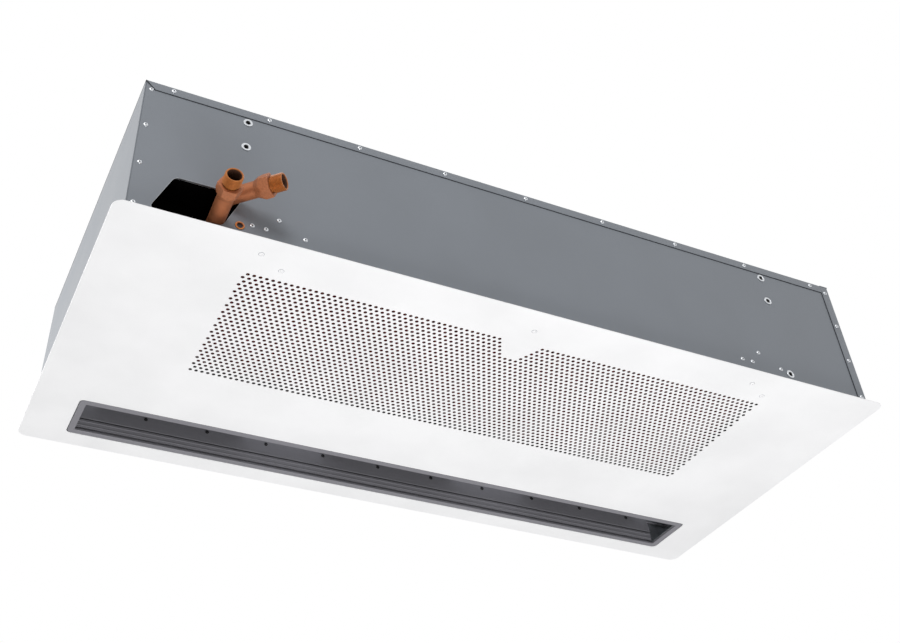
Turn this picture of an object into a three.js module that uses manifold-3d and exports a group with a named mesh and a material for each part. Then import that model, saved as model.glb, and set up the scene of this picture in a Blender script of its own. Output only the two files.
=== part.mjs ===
// Water-heated recessed air curtain: a sheet-steel casing that hangs above a ceiling, with a
// hinged perforated face panel, a coil above the perforation, three double-inlet fans, and a
// long air outlet slot beside the coil.
// Millimetres, +Z up. Inside the unit group, x runs along the unit from its middle, y runs
// from the outer face of the pipe wall towards the slot, and z is the height above the
// underside of the face panel. The group then sets the part's origin in the middle of the
// casing's top face, which is where the unit hangs.
import * as THREE from "three";
import { mergeVertices } from "three/addons/utils/BufferGeometryUtils.js";
import Module from "manifold-3d";

const wasm = await Module();
wasm.setup();

// ---------------------------------------------------------------- driving dimensions, mm
// Sheet metal and clearances
const SHEET = 1.5; // steel sheet of the casing and its inner parts
const FIT = 0.3; // gap between pieces that touch
const RUNNING = 0.6; // radial gap between pieces that turn on each other

// Face panel
const PANEL_LENGTH = 1500;
const PANEL_DEPTH = 708;
const PANEL_SHEET = 1.5;
const PANEL_CORNER = 18; // corner radius
const PANEL_OVER_ENDS = 20; // overhang past each end of the casing
const PANEL_OVER_PIPES = 22.5; // overhang past the pipe wall
const PANEL_OVER_SLOT = 14.5; // overhang past the slot-side wall

// Casing
const CASING_LENGTH = PANEL_LENGTH - 2 * PANEL_OVER_ENDS;
const CASING_DEPTH = PANEL_DEPTH - PANEL_OVER_PIPES - PANEL_OVER_SLOT;
const CASING_HEIGHT = 297; // from the panel's underside to the top face
const CASING_FOOT = 6; // height of the walls' lower edges
const COVER_FLANGE = 18; // turned down over the walls
const SIDE_FLANGE = 19.5; // turned round onto the walls
const FOOT_FLANGE = 20; // turned in along the walls' lower edges
const SIDE_FOOT_FLANGE = 15;
const SIDE_FOOT_END = 34; // room left for the walls' own flanges at each corner

// Rivets
const RIVET_RADIUS = 4.3;
const RIVET_HEIGHT = 1.7;
const COVER_RIVETS = 9;
const COVER_RIVET_END = 48.5; // from the casing's end to the first rivet
const SIDE_RIVETS = 4;
const SIDE_RIVET_LOW = 22.5;
const SIDE_RIVET_DROP = 18.5; // from the top face down to the highest rivet
const SIDE_RIVET_IN = 11.5; // from the casing's end

// Face panel perforation: the sheet has round holes of 6 mm, 10.75 mm apart along the panel
// in rows 10 mm apart. The solid carries one square hole for each four by four of them,
// with the same free area.
const HOLE_PITCH = 10.75;
const ROW_PITCH = 9.97;
const HOLE_DIAMETER = 6;
const HOLES_JOINED = 4;
const FIRST_ROW = 71.5; // first row of holes, from the pipe wall
const FIELD_TO_SLOT = 165; // bare sheet between the last row and the slot
const FIELD_TO_END = 233; // bare sheet between the holes and the panel's ends
const FIELD_NOTCH = 46; // half length of the bare place in the first joined row

// Outlet slot
const SLOT_END = 82.5; // from each end of the panel
const SLOT_LENGTH = PANEL_LENGTH - 2 * SLOT_END;
const SLOT_WIDTH = 118;
const SLOT_FROM_WALL = 26.5; // from the slot-side wall
const SLOT_CORNER = 6.5;
const FRAME_CLEARANCE = 1;
const FRAME_FLANGE = 12.5;
const FRAME_THICKNESS = 2;
const FRAME_LIP = 4;
const FRAME_WALL = 1.6;

// Air duct above the slot
const DUCT_TOP = 70;
const DUCT_PAST_SLOT = 43.5; // the duct is longer than the slot at both ends
const PROFILE_DEPTH = 9.4; // the guide profiles' depth from the duct wall
const RIB_HEIGHTS = [14.2, 23.1];
const RIB = 1;
const GROOVE_LOW = 27;
const VANE_LOW = 31;
const VANE_TOP = 57;
const VANE_SHEET = 2;
const VANE_LEAN = 5; // the lower edge stands this far forward of the pivot
const VANE_PIVOT_RADIUS = 2.6;
const VANE_SCREW_PITCH = 124;
const VANE_SCREW_START = 131; // from the plate's left end
const VANE_SCREW_END = 30; // at least this much from its right end

// Coil
const COIL_END_ROOM = 210; // from each end of the casing to the fins
const COIL_TUBE_PITCH = 36;
const COIL_FIRST_TUBE = 102; // from the pipe wall
const COIL_TO_SLOT_WALL = 315; // at least, from the last tube's axis
const COIL_LOWER_ROW = 38;
const COIL_UPPER_ROW = 78.5;
const COIL_FIN_MARGIN = 19; // fins past the tubes' axes, up and down
const COIL_FIN_EDGE = 24; // and across
const COIL_TUBE_RADIUS = 6;
const COIL_STUB = 26; // how far the return bends stand out

// Water pipes
const PIPE_RADIUS = 14;
const PIPE_WALL = 1.5;
const LOWER_HEADER_IN = 146.5; // from the casing's end to the header's axis
const UPPER_HEADER_IN = 155;
const LOWER_HEADER_START = 45;
const HEADER_PAST_TUBE = 18;
const LOWER_PIPE_TURN = 3; // degrees away from square to the wall
const LOWER_PIPE_RISE = 1.2;
const LOWER_PIPE_REACH = 98.8; // from the wall's face to the end of the thread
const UPPER_PIPE_TURN = 45;
const UPPER_PIPE_REACH = 76.7;
const UPPER_PIPE_IN = 149.6; // from the casing's end to its line at the wall's face
const UPPER_PIPE_BEND = 30;
const UPPER_PIPE_STRAIGHT = 16; // between the upper header and the bend
const THREAD_RADIUS = 14.9;
const THREAD_BORE = 11.2;
const THREAD_LENGTH = 22;
const THREAD_RIDGES = 6;
const THREAD_DEPTH = 0.7;
const HEX_ACROSS_FLATS = 36;
const HEX_LENGTH = 27; // with its shoulder
const HEX_SHOULDER_TURN = 26; // degrees that the shoulder rises from the pipe
const NIPPLE_RADIUS = 7;
const NIPPLE_BORE = 5.1;
const NIPPLE_IN = 181.5; // from the casing's end
const NIPPLE_HEIGHT = 32.5;
const NIPPLE_BEND = 14;

// Opening for the pipes in the pipe wall: a leaning slot with round corners
const OPENING_IN = 36; // from the casing's end to its lower outer corner
const OPENING_LENGTH = 117;
const OPENING_LOW = 20.5;
const OPENING_HIGH = 97.5;
const OPENING_LEAN = 34;
const OPENING_CORNER = 11;

// Threaded inserts
const INSERT_FLANGE = 8.5;
const INSERT_FLANGE_THICKNESS = 1;
const INSERT_BARREL = 5.3;
const INSERT_BORE = 4;
const INSERT_DEPTH = 14;
const INSERT_IN = 181.5; // from the casing's ends
const INSERT_DROPS = [88, 29.5]; // from the top face
const LOW_INSERT_HEIGHT = 33;
const TOP_INSERT_IN = 60; // from the two long edges of the top face

// Fans
const FANS = 3;
const FAN_PITCH = 470;
const FAN_WIDTH = 300;
const SCROLL_LARGE = 158; // outer radius at the outlet
const SCROLL_SMALL = 84; // outer radius at the tongue
const SCROLL_TURN = 305; // degrees from the outlet back to the tongue
const SCROLL_AT_TOP = 90; // degrees from the outlet
const SCROLL_AT_BOTTOM = 270;
const SCROLL_STEPS = 24;
const SCROLL_HEADROOM = 3;
const INLET_RADIUS = 60;
const WHEEL_RADIUS = 72;
const WHEEL_INNER = 61;
const WHEEL_WIDTH = 250;
const WHEEL_BLADES = 20;
const BLADE_SHEET = 1.6;
const BLADE_LEAN = 28; // degrees
const WHEEL_DISC = 3;
const HUB_RADIUS = 16;
const HUB_LENGTH = 24;
const SHAFT_RADIUS = 5;
const MOTOR_RADIUS = 42;
const MOTOR_LENGTH = 84;
const BRACKET_ARMS = 3;
const BRACKET_RING = 78;
const ARM_WIDTH = 14;
const STRUT = 6;

// Shelves that part the air paths
const SHELF_OVER_COIL = 2;
const FAN_SHELF_GAP = 4; // below the scrolls
const FAN_SHELF_TO_COIL = 4;

// Hinges of the face panel, both of one hand
const HINGE_IN = 247; // from the casing's ends to the hinges' middles
const HINGE_AXIS_OUT = 5.2; // in front of the pipe wall
const HINGE_AXIS_HEIGHT = 6.2;
const BARREL_RADIUS = 3.5;
const PIN_RADIUS = 1.6;
const BARREL_LENGTH = 67;
const KNUCKLE = 17;
const LEAF = 2;
const WALL_LEAF_TOP = 76;
const WALL_LEAF_ENDS = [-56, 56]; // from the hinge's middle
const PANEL_LEAF_DEPTH = 52;
const WALL_LEAF_RIVETS = [[-45.4, 39], [-22, 39], [45.2, 39], [-0.9, 65]];
const PANEL_LEAF_RIVETS = [[-22, 16], [21.5, 43.4]];
const MIDDLE_RIVET_FROM_WALL = 29.5;

// Catches and gasket
const CATCH_IN = 230; // from the casing's ends
const CATCH_SIZE = [36, 12, 20];
const TAB_LENGTH = 20;
const TAB_HEIGHT = 20;
const TAB_FROM_WALL = 7;
const TAB_PLAY = 1.2;
const GASKET_WIDTH = 8;
const GASKET_FROM_WALL = 14; // from the walls' outer faces
const GASKET_START = 34;

// Electrics
const BOX_SIZE = [150, 150, 78];
const BOX_FROM_END = 22;
const BOX_FROM_WALL = 20;
const BOARD_SIZE = [116, 112, 1.6];
const BOARD_STANDOFF = 9;
const TERMINAL_HEIGHT = 16;
const TRANSFORMER_HEIGHT = 24;
const LID_INSET = 20;
const LID_RAISE = 3;
const GLAND_DROP = 65; // from the top face
const GLAND_PLACES = [62, 104]; // from the pipe wall
const GLAND_RADIUS = 11;
const GLAND_LENGTH = 18;
const GLAND_BORE = 5.5;

// ---------------------------------------------------------------- values worked out from them
const HALF = CASING_LENGTH / 2;
const WALL_TOP = CASING_HEIGHT - SHEET - FIT;
const WALL_END = HALF - SHEET - FIT;
const SLOT_FAR = CASING_DEPTH - SLOT_FROM_WALL;
const SLOT_NEAR = SLOT_FAR - SLOT_WIDTH;
const FRAME_NEAR = SLOT_NEAR + FRAME_CLEARANCE;
const FRAME_FAR = SLOT_FAR - FRAME_CLEARANCE;
const FRAME_HALF = SLOT_LENGTH / 2 - FRAME_CLEARANCE;
const MOUTH_NEAR = FRAME_NEAR + FRAME_FLANGE;
const MOUTH_FAR = FRAME_FAR - FRAME_FLANGE;
const MOUTH_HALF = FRAME_HALF - FRAME_FLANGE;
const DUCT_FOOT = FRAME_LIP + FIT;
const DUCT_HALF = SLOT_LENGTH / 2 + DUCT_PAST_SLOT;
const FINS_HALF = HALF - COIL_END_ROOM;
const COIL_SPAN = CASING_DEPTH - COIL_TO_SLOT_WALL - COIL_FIRST_TUBE;
const COIL_TUBE_PAIRS = Math.floor((COIL_SPAN / COIL_TUBE_PITCH + 1) / 2);
const COIL_TUBES = 2 * COIL_TUBE_PAIRS;
const COIL_LAST_TUBE = COIL_FIRST_TUBE + (COIL_TUBES - 1) * COIL_TUBE_PITCH;
const FINS_NEAR = COIL_FIRST_TUBE - COIL_FIN_EDGE;
const FINS_FAR = COIL_LAST_TUBE + COIL_FIN_EDGE;
const FINS_LOW = COIL_LOWER_ROW - COIL_FIN_MARGIN;
const FINS_HIGH = COIL_UPPER_ROW + COIL_FIN_MARGIN;
const COIL_SHELF = FINS_HIGH + SHELF_OVER_COIL;
const VANE_Y = FRAME_FAR - SHEET - FIT - SHEET - FIT - VANE_PIVOT_RADIUS;
const scrollRadius = (degrees) =>
  SCROLL_LARGE - ((SCROLL_LARGE - SCROLL_SMALL) * degrees) / SCROLL_TURN;
const FAN_Y = FRAME_FAR - SCROLL_LARGE;
const FAN_Z = CASING_HEIGHT - SHEET - SCROLL_HEADROOM - scrollRadius(SCROLL_AT_TOP);
const FAN_SHELF = FAN_Z - scrollRadius(SCROLL_AT_BOTTOM) - FAN_SHELF_GAP;
const FAN_SHELF_NEAR = FINS_FAR + FAN_SHELF_TO_COIL;
const TONGUE = toRadians(SCROLL_TURN);
const OUTLET_NEAR = FAN_Y + SCROLL_SMALL * Math.cos(TONGUE);
const HEX_RADIUS = HEX_ACROSS_FLATS / Math.sqrt(3);
const GLAND_HEIGHT = CASING_HEIGHT - GLAND_DROP;
const GLAND_NECK = GLAND_RADIUS * 0.7;
const hingePlaces = [-HALF + HINGE_IN, HALF - HINGE_IN];
const catchPlaces = [-HALF + CATCH_IN, HALF - CATCH_IN];

// ---------------------------------------------------------------- finishes
const paint = (color, metalness, roughness) =>
  new THREE.MeshStandardMaterial({ color, metalness, roughness, flatShading: true });
const FINISH = {
  casing: paint("#7e848b", 0.35, 0.5),
  side: paint("#b8bbc1", 0.4, 0.45),
  panel: paint("#f7f7f8", 0.0, 0.45),
  aluminium: paint("#86858c", 0.9, 0.4),
  copper: paint("#b4683f", 0.9, 0.35),
  brass: paint("#c07a3c", 0.9, 0.35),
  fins: paint("#a9adb2", 0.9, 0.5),
  zinc: paint("#d5d8dc", 0.9, 0.3),
  wheel: paint("#3c3f44", 0.1, 0.5),
  motor: paint("#2c2e31", 0.4, 0.5),
  foam: paint("#35363a", 0.0, 0.95),
  plastic: paint("#c9ccce", 0.0, 0.5),
  board: paint("#2f6b46", 0.0, 0.5),
};

// ---------------------------------------------------------------- solids
function toRadians(degrees) {
  return (degrees * Math.PI) / 180;
}

// A closed three.js geometry as a solid that can be cut and joined.
function solid(geometry) {
  const bare = geometry.index ? geometry.toNonIndexed() : geometry.clone();
  bare.deleteAttribute("normal");
  bare.deleteAttribute("uv");
  const merged = mergeVertices(bare, 1e-4);
  return new wasm.Manifold(
    new wasm.Mesh({
      numProp: 3,
      vertProperties: merged.attributes.position.array,
      triVerts: new Uint32Array(merged.index.array),
    }),
  );
}

const join = (...solids) => solids.flat().reduce((sum, one) => sum.add(one));
const cut = (base, ...tools) => tools.flat().reduce((rest, one) => rest.subtract(one), base);

// A box from its lowest to its highest corner.
function box(x0, x1, y0, y1, z0, z1) {
  const geometry = new THREE.BoxGeometry(x1 - x0, y1 - y0, z1 - z0);
  return solid(geometry.translate((x0 + x1) / 2, (y0 + y1) / 2, (z0 + z1) / 2));
}

const toShape = (points) => new THREE.Shape(points.map(([a, b]) => new THREE.Vector2(a, b)));

// An outline drawn in x and y, standing from z0 to z1.
function upright(shape, z0, z1, curveSegments = 6) {
  const geometry = new THREE.ExtrudeGeometry(shape, {
    depth: z1 - z0,
    bevelEnabled: false,
    curveSegments,
  });
  return solid(geometry.translate(0, 0, z0));
}

// An outline drawn in y and z, running along x from x0 to x1.
function alongX(shape, x0, x1, curveSegments = 6) {
  const geometry = new THREE.ExtrudeGeometry(shape, {
    depth: x1 - x0,
    bevelEnabled: false,
    curveSegments,
  });
  const turn = new THREE.Matrix4().set(0, 0, 1, x0, 1, 0, 0, 0, 0, 1, 0, 0, 0, 0, 0, 1);
  return solid(geometry.applyMatrix4(turn));
}

// An outline drawn in x and z, running along y from y0 to y1.
function alongY(shape, y0, y1, curveSegments = 6) {
  const geometry = new THREE.ExtrudeGeometry(shape, {
    depth: y1 - y0,
    bevelEnabled: false,
    curveSegments,
  });
  const turn = new THREE.Matrix4().set(1, 0, 0, 0, 0, 0, -1, y1, 0, 1, 0, 0, 0, 0, 0, 1);
  return solid(geometry.applyMatrix4(turn));
}

// A straight round rod between two points.
function rod(from, to, radius, sides = 16) {
  const a = new THREE.Vector3(...from);
  const b = new THREE.Vector3(...to);
  const along = b.clone().sub(a);
  const geometry = new THREE.CylinderGeometry(radius, radius, along.length(), sides);
  const turn = new THREE.Quaternion().setFromUnitVectors(
    new THREE.Vector3(0, 1, 0),
    along.clone().normalize(),
  );
  geometry.applyQuaternion(turn);
  return solid(geometry.translate(...a.add(b).multiplyScalar(0.5).toArray()));
}

// A turned piece: the profile lists radius and height, and the axis goes from a point along
// a direction.
function turned(profile, from, direction, sides = 16) {
  const points = profile.map(([radius, height]) => new THREE.Vector2(radius, height));
  const geometry = new THREE.LatheGeometry(points, sides);
  const turn = new THREE.Quaternion().setFromUnitVectors(
    new THREE.Vector3(0, 1, 0),
    new THREE.Vector3(...direction).normalize(),
  );
  return solid(geometry.applyQuaternion(turn).translate(...from));
}

// A hollow pipe along a path.
function pipe(path, radius, bore, sides, steps) {
  const ring = new THREE.Shape().absarc(0, 0, radius, 0, 2 * Math.PI);
  ring.holes.push(new THREE.Path().absarc(0, 0, bore, 0, 2 * Math.PI));
  return solid(
    new THREE.ExtrudeGeometry(ring, {
      extrudePath: path,
      steps,
      bevelEnabled: false,
      curveSegments: sides,
    }),
  );
}

function roundedRectangle(x0, x1, y0, y1, radius) {
  const shape = new THREE.Shape();
  shape.absarc(x1 - radius, y1 - radius, radius, 0, Math.PI / 2);
  shape.absarc(x0 + radius, y1 - radius, radius, Math.PI / 2, Math.PI);
  shape.absarc(x0 + radius, y0 + radius, radius, Math.PI, 1.5 * Math.PI);
  shape.absarc(x1 - radius, y0 + radius, radius, 1.5 * Math.PI, 2 * Math.PI);
  return shape;
}

// The head of a blind rivet, sunk a little into the sheet that it holds.
function rivet(place, direction) {
  const profile = [
    [0, -SHEET / 2],
    [RIVET_RADIUS, -SHEET / 2],
    [RIVET_RADIUS, RIVET_HEIGHT / 3],
    [RIVET_RADIUS / 2, RIVET_HEIGHT],
    [0, RIVET_HEIGHT],
  ];
  return turned(profile, place, direction, 8);
}

const unit = new THREE.Group();
unit.position.set(0, -CASING_DEPTH / 2, -CASING_HEIGHT);

function add(name, piece, finish) {
  const data = piece.getMesh();
  const geometry = new THREE.BufferGeometry();
  geometry.setAttribute("position", new THREE.BufferAttribute(data.vertProperties, 3));
  geometry.setIndex(new THREE.BufferAttribute(data.triVerts, 1));
  geometry.computeVertexNormals();
  const mesh = new THREE.Mesh(geometry, FINISH[finish]);
  mesh.name = name;
  unit.add(mesh);
}

// ---------------------------------------------------------------- casing
const coverRivetPitch = (CASING_LENGTH - 2 * COVER_RIVET_END) / (COVER_RIVETS - 1);
const coverRivetPlaces = Array.from(
  { length: COVER_RIVETS },
  (_, i) => -HALF + COVER_RIVET_END + i * coverRivetPitch,
);
const sideRivetPitch =
  (CASING_HEIGHT - SIDE_RIVET_DROP - SIDE_RIVET_LOW) / (SIDE_RIVETS - 1);
const sideRivetHeights = Array.from(
  { length: SIDE_RIVETS },
  (_, i) => SIDE_RIVET_LOW + i * sideRivetPitch,
);
const OUTER_LAYER = FIT + SHEET; // a flange outside a wall ends this far past the wall

// The top face with a flange turned down over each long wall. The flange is cut at 45
// degrees at one end and meets the end panel's flange at the other.
function topCover() {
  const flangeLow = CASING_HEIGHT - COVER_FLANGE;
  const plateLow = CASING_HEIGHT - SHEET;
  const flange = toShape([
    [-HALF + COVER_FLANGE, flangeLow],
    [HALF - SIDE_FLANGE - FIT, flangeLow],
    [HALF - SIDE_FLANGE - FIT, CASING_HEIGHT],
    [-HALF, CASING_HEIGHT],
  ]);
  const nearRivets = coverRivetPlaces.map((x) =>
    rivet([x, -OUTER_LAYER, CASING_HEIGHT - COVER_FLANGE / 2], [0, -1, 0]),
  );
  const farRivets = coverRivetPlaces.map((x) =>
    rivet([x, CASING_DEPTH + OUTER_LAYER, CASING_HEIGHT - COVER_FLANGE / 2], [0, 1, 0]),
  );
  const plate = box(
    -HALF, HALF, -OUTER_LAYER, CASING_DEPTH + OUTER_LAYER, plateLow, CASING_HEIGHT,
  );
  const insertHoles = topInsertPlaces().map(([x, y]) =>
    rod([x, y, plateLow - 5], [x, y, CASING_HEIGHT + 5], INSERT_BORE + FIT, 12),
  );
  return cut(
    join(
      plate,
      alongY(flange, -OUTER_LAYER, -FIT),
      alongY(flange, CASING_DEPTH + FIT, CASING_DEPTH + OUTER_LAYER),
      nearRivets,
      farRivets,
    ),
    insertHoles,
  );
}

function topInsertPlaces() {
  const along = HALF - INSERT_IN;
  const near = TOP_INSERT_IN;
  const far = CASING_DEPTH - TOP_INSERT_IN;
  return [[-along, near], [along, near], [-along, far], [along, far]];
}

// A long wall with its foot flange turned in. The sign says which way is inwards.
function longWall(outer, inward) {
  const inner = outer + inward * SHEET;
  const flangeEdge = inner + inward * FOOT_FLANGE;
  const flangeHalf = WALL_END - SIDE_FLANGE - SHEET;
  return join(
    box(-WALL_END, WALL_END, Math.min(outer, inner), Math.max(outer, inner), CASING_FOOT, WALL_TOP),
    box(
      -flangeHalf, flangeHalf, Math.min(outer, flangeEdge), Math.max(outer, flangeEdge),
      CASING_FOOT, CASING_FOOT + SHEET,
    ),
  );
}

function openingShape() {
  const corners = [
    [-HALF + OPENING_IN, OPENING_LOW],
    [-HALF + OPENING_IN + OPENING_LENGTH, OPENING_LOW],
    [-HALF + OPENING_IN + OPENING_LENGTH + OPENING_LEAN, OPENING_HIGH],
    [-HALF + OPENING_IN + OPENING_LEAN, OPENING_HIGH],
  ].map(([x, z]) => new THREE.Vector2(x, z));
  const shape = new THREE.Shape();
  corners.forEach((corner, i) => {
    const before = corners[(i + 3) % 4];
    const after = corners[(i + 1) % 4];
    const start = corner.clone().add(before.clone().sub(corner).setLength(OPENING_CORNER));
    const end = corner.clone().add(after.clone().sub(corner).setLength(OPENING_CORNER));
    if (i === 0) shape.moveTo(start.x, start.y);
    else shape.lineTo(start.x, start.y);
    shape.quadraticCurveTo(corner.x, corner.y, end.x, end.y);
  });
  return shape;
}

function pipeWall() {
  const insertHoles = wallInsertPlaces().map(([x, z]) =>
    rod([x, -5, z], [x, 5, z], INSERT_BARREL + FIT, 12),
  );
  const nippleHole = rod(
    [-HALF + NIPPLE_IN, -5, NIPPLE_HEIGHT],
    [-HALF + NIPPLE_IN, 5, NIPPLE_HEIGHT],
    NIPPLE_RADIUS + 1,
    12,
  );
  const hingeNotches = hingePlaces.map((x) =>
    box(
      x + WALL_LEAF_ENDS[0] - 2, x + WALL_LEAF_ENDS[1] + 2, SHEET, SHEET + FOOT_FLANGE + 1,
      CASING_FOOT - 1, CASING_FOOT + SHEET + 1,
    ),
  );
  const endRivets = sideRivetHeights.map((z) => rivet([-HALF + SIDE_RIVET_IN, 0, z], [0, -1, 0]));
  const hingeRivets = hingePlaces.flatMap((x) =>
    WALL_LEAF_RIVETS.map(([along, z]) => rivet([x + along, 0, z], [0, -1, 0])),
  );
  return join(
    cut(
      longWall(0, 1),
      alongY(openingShape(), -5, 5, 4),
      insertHoles,
      nippleHole,
      hingeNotches,
    ),
    endRivets,
    hingeRivets,
  );
}

function wallInsertPlaces() {
  const along = HALF - INSERT_IN;
  const upper = INSERT_DROPS.map((drop) => CASING_HEIGHT - drop).flatMap((z) => [
    [-along, z],
    [along, z],
  ]);
  return [...upper, [along, LOW_INSERT_HEIGHT]];
}

function slotWall() {
  const notches = catchPlaces.map((x) =>
    box(
      x - CATCH_SIZE[0] / 2, x + CATCH_SIZE[0] / 2,
      CASING_DEPTH - SHEET - CATCH_SIZE[1] - 1, CASING_DEPTH - SHEET,
      CASING_FOOT - 1, CASING_FOOT + SHEET + 1,
    ),
  );
  const endRivets = sideRivetHeights.map((z) =>
    rivet([-HALF + SIDE_RIVET_IN, CASING_DEPTH, z], [0, 1, 0]),
  );
  return join(cut(longWall(CASING_DEPTH, -1), notches), endRivets);
}

// The end panel whose flanges lie behind the long walls.
function leftSide() {
  const outer = -HALF;
  const inner = -HALF + SHEET;
  const flangeEdge = inner + SIDE_FLANGE;
  const behind = SHEET + FIT;
  const half = [
    [outer, 0],
    [inner, 0],
    [inner, behind],
    [flangeEdge, behind],
    [flangeEdge, behind + SHEET],
    [inner, behind + SHEET],
  ];
  const mirrored = half.map(([x, y]) => [x, CASING_DEPTH - y]).reverse();
  return join(
    upright(toShape([...half, ...mirrored]), CASING_FOOT, WALL_TOP),
    box(
      inner - SHEET / 2, inner + SIDE_FOOT_FLANGE, SIDE_FOOT_END, CASING_DEPTH - SIDE_FOOT_END,
      CASING_FOOT, CASING_FOOT + SHEET,
    ),
  );
}

// The end panel whose flanges are riveted over the outside of the long walls.
function rightSide() {
  const inner = HALF - SHEET;
  const flangeEdge = HALF - SIDE_FLANGE;
  const glandHoles = GLAND_PLACES.map((y) =>
    rod([inner - 5, y, GLAND_HEIGHT], [HALF + 5, y, GLAND_HEIGHT], GLAND_NECK + FIT, 12),
  );
  const nearRivets = sideRivetHeights.map((z) =>
    rivet([HALF - SIDE_RIVET_IN, -OUTER_LAYER, z], [0, -1, 0]),
  );
  const farRivets = sideRivetHeights.map((z) =>
    rivet([HALF - SIDE_RIVET_IN, CASING_DEPTH + OUTER_LAYER, z], [0, 1, 0]),
  );
  return join(
    cut(box(inner, HALF, -OUTER_LAYER, CASING_DEPTH + OUTER_LAYER, CASING_FOOT, WALL_TOP), glandHoles),
    box(flangeEdge, HALF, -OUTER_LAYER, -FIT, CASING_FOOT, WALL_TOP),
    box(
      flangeEdge, HALF, CASING_DEPTH + FIT, CASING_DEPTH + OUTER_LAYER, CASING_FOOT, WALL_TOP,
    ),
    box(
      inner - SIDE_FOOT_FLANGE, HALF, SIDE_FOOT_END, CASING_DEPTH - SIDE_FOOT_END,
      CASING_FOOT, CASING_FOOT + SHEET,
    ),
    nearRivets,
    farRivets,
  );
}

// A threaded insert: a thin flange at the end of a barrel.
function insert(place, outward) {
  const profile = [
    [INSERT_BORE, -INSERT_DEPTH],
    [INSERT_BARREL, -INSERT_DEPTH],
    [INSERT_BARREL, FIT],
    [INSERT_FLANGE, FIT],
    [INSERT_FLANGE - 0.4, FIT + INSERT_FLANGE_THICKNESS],
    [INSERT_BORE, FIT + INSERT_FLANGE_THICKNESS],
    [INSERT_BORE, -INSERT_DEPTH],
  ];
  return turned(profile, place, outward, 12);
}

function addCasing() {
  add("top_cover", topCover(), "casing");
  add("pipe_wall", pipeWall(), "casing");
  add("slot_wall", slotWall(), "casing");
  add("left_side", leftSide(), "side");
  add("right_side", rightSide(), "casing");
  wallInsertPlaces().forEach(([x, z], i) =>
    add(`wall_insert_${i + 1}`, insert([x, 0, z], [0, -1, 0]), "zinc"),
  );
  // The top face stays flat, so these have their flanges under the sheet.
  const under = CASING_HEIGHT - SHEET - 2 * FIT - INSERT_FLANGE_THICKNESS;
  topInsertPlaces().forEach(([x, y], i) =>
    add(`ceiling_insert_${i + 1}`, insert([x, y, under], [0, 0, 1]), "zinc"),
  );
}

// ---------------------------------------------------------------- face panel
// The perforated field of the panel, drawn as one square hole for every group of holes, in
// staggered rows, with a bare place in the middle of the first rows.
function perforation() {
  const pitch = HOLE_PITCH * HOLES_JOINED;
  const rowPitch = ROW_PITCH * HOLES_JOINED;
  const holeColumns = Math.floor((PANEL_LENGTH - 2 * FIELD_TO_END) / HOLE_PITCH);
  const holeRows = 1 + Math.floor((SLOT_NEAR - FIELD_TO_SLOT - FIRST_ROW) / ROW_PITCH);
  const columns = Math.floor(holeColumns / HOLES_JOINED);
  const rows = Math.floor(holeRows / HOLES_JOINED);
  const area = (Math.PI / 4) * (HOLE_DIAMETER * HOLES_JOINED) ** 2;
  const reach = Math.sqrt(area / 2);
  const fieldMiddle = FIRST_ROW + ((holeRows - 1) * ROW_PITCH) / 2;
  const holes = [];
  for (let row = 0; row < rows; row++) {
    const y = fieldMiddle + (row - (rows - 1) / 2) * rowPitch;
    const shift = row % 2 ? -pitch / 4 : pitch / 4;
    for (let column = 0; column < columns; column++) {
      const x = (column - (columns - 1) / 2) * pitch + shift;
      if (row === 0 && Math.abs(x) < FIELD_NOTCH) continue;
      const hole = new THREE.Path();
      hole.moveTo(x + reach, y);
      hole.lineTo(x, y - reach);
      hole.lineTo(x - reach, y);
      hole.lineTo(x, y + reach);
      hole.closePath();
      holes.push(hole);
    }
  }
  return holes;
}

function facePanel() {
  const sheet = roundedRectangle(
    -PANEL_LENGTH / 2, PANEL_LENGTH / 2,
    -PANEL_OVER_PIPES, PANEL_DEPTH - PANEL_OVER_PIPES, PANEL_CORNER,
  );
  const slot = roundedRectangle(
    -SLOT_LENGTH / 2, SLOT_LENGTH / 2, SLOT_NEAR, SLOT_FAR, SLOT_CORNER,
  );
  sheet.holes.push(new THREE.Path(slot.getPoints(4)), ...perforation());
  const tabs = catchPlaces.map((x) =>
    box(
      x - TAB_LENGTH / 2, x + TAB_LENGTH / 2,
      CASING_DEPTH - TAB_FROM_WALL - PANEL_SHEET, CASING_DEPTH - TAB_FROM_WALL,
      PANEL_SHEET / 2, TAB_HEIGHT,
    ),
  );
  const rivets = hingePlaces.flatMap((x) =>
    PANEL_LEAF_RIVETS.map(([along, y]) => rivet([x + along, y, 0], [0, 0, -1])),
  );
  const middleRivet = rivet([0, MIDDLE_RIVET_FROM_WALL, 0], [0, 0, -1]);
  return join(upright(sheet, 0, PANEL_SHEET, 4), tabs, rivets, middleRivet);
}

// Foam strip between the walls' foot flanges and the panel, on the three sides away from
// the hinges.
function panelGasket() {
  const low = PANEL_SHEET + FIT;
  const high = CASING_FOOT - FIT;
  const end = HALF - GASKET_FROM_WALL / 2;
  const inner = end - GASKET_WIDTH;
  const far = CASING_DEPTH - GASKET_FROM_WALL;
  const near = far - GASKET_WIDTH;
  return join(
    box(-end, end, near, far, low, high),
    box(-end, -inner, GASKET_START, far, low, high),
    box(inner, end, GASKET_START, far, low, high),
  );
}

// ---------------------------------------------------------------- hinges and catches
const HINGE_Y = -HINGE_AXIS_OUT;
const HINGE_Z = HINGE_AXIS_HEIGHT;
const STRAP_LOW = PANEL_SHEET + 1.5;
const PANEL_LEAF_LOW = PANEL_SHEET + FIT;
const wallKnuckles = [
  [-BARREL_LENGTH / 2, -BARREL_LENGTH / 2 + KNUCKLE],
  [BARREL_LENGTH / 2 - KNUCKLE, BARREL_LENGTH / 2],
];
const panelKnuckle = [wallKnuckles[0][1] + 0.5, wallKnuckles[1][0] - 0.5];

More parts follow.
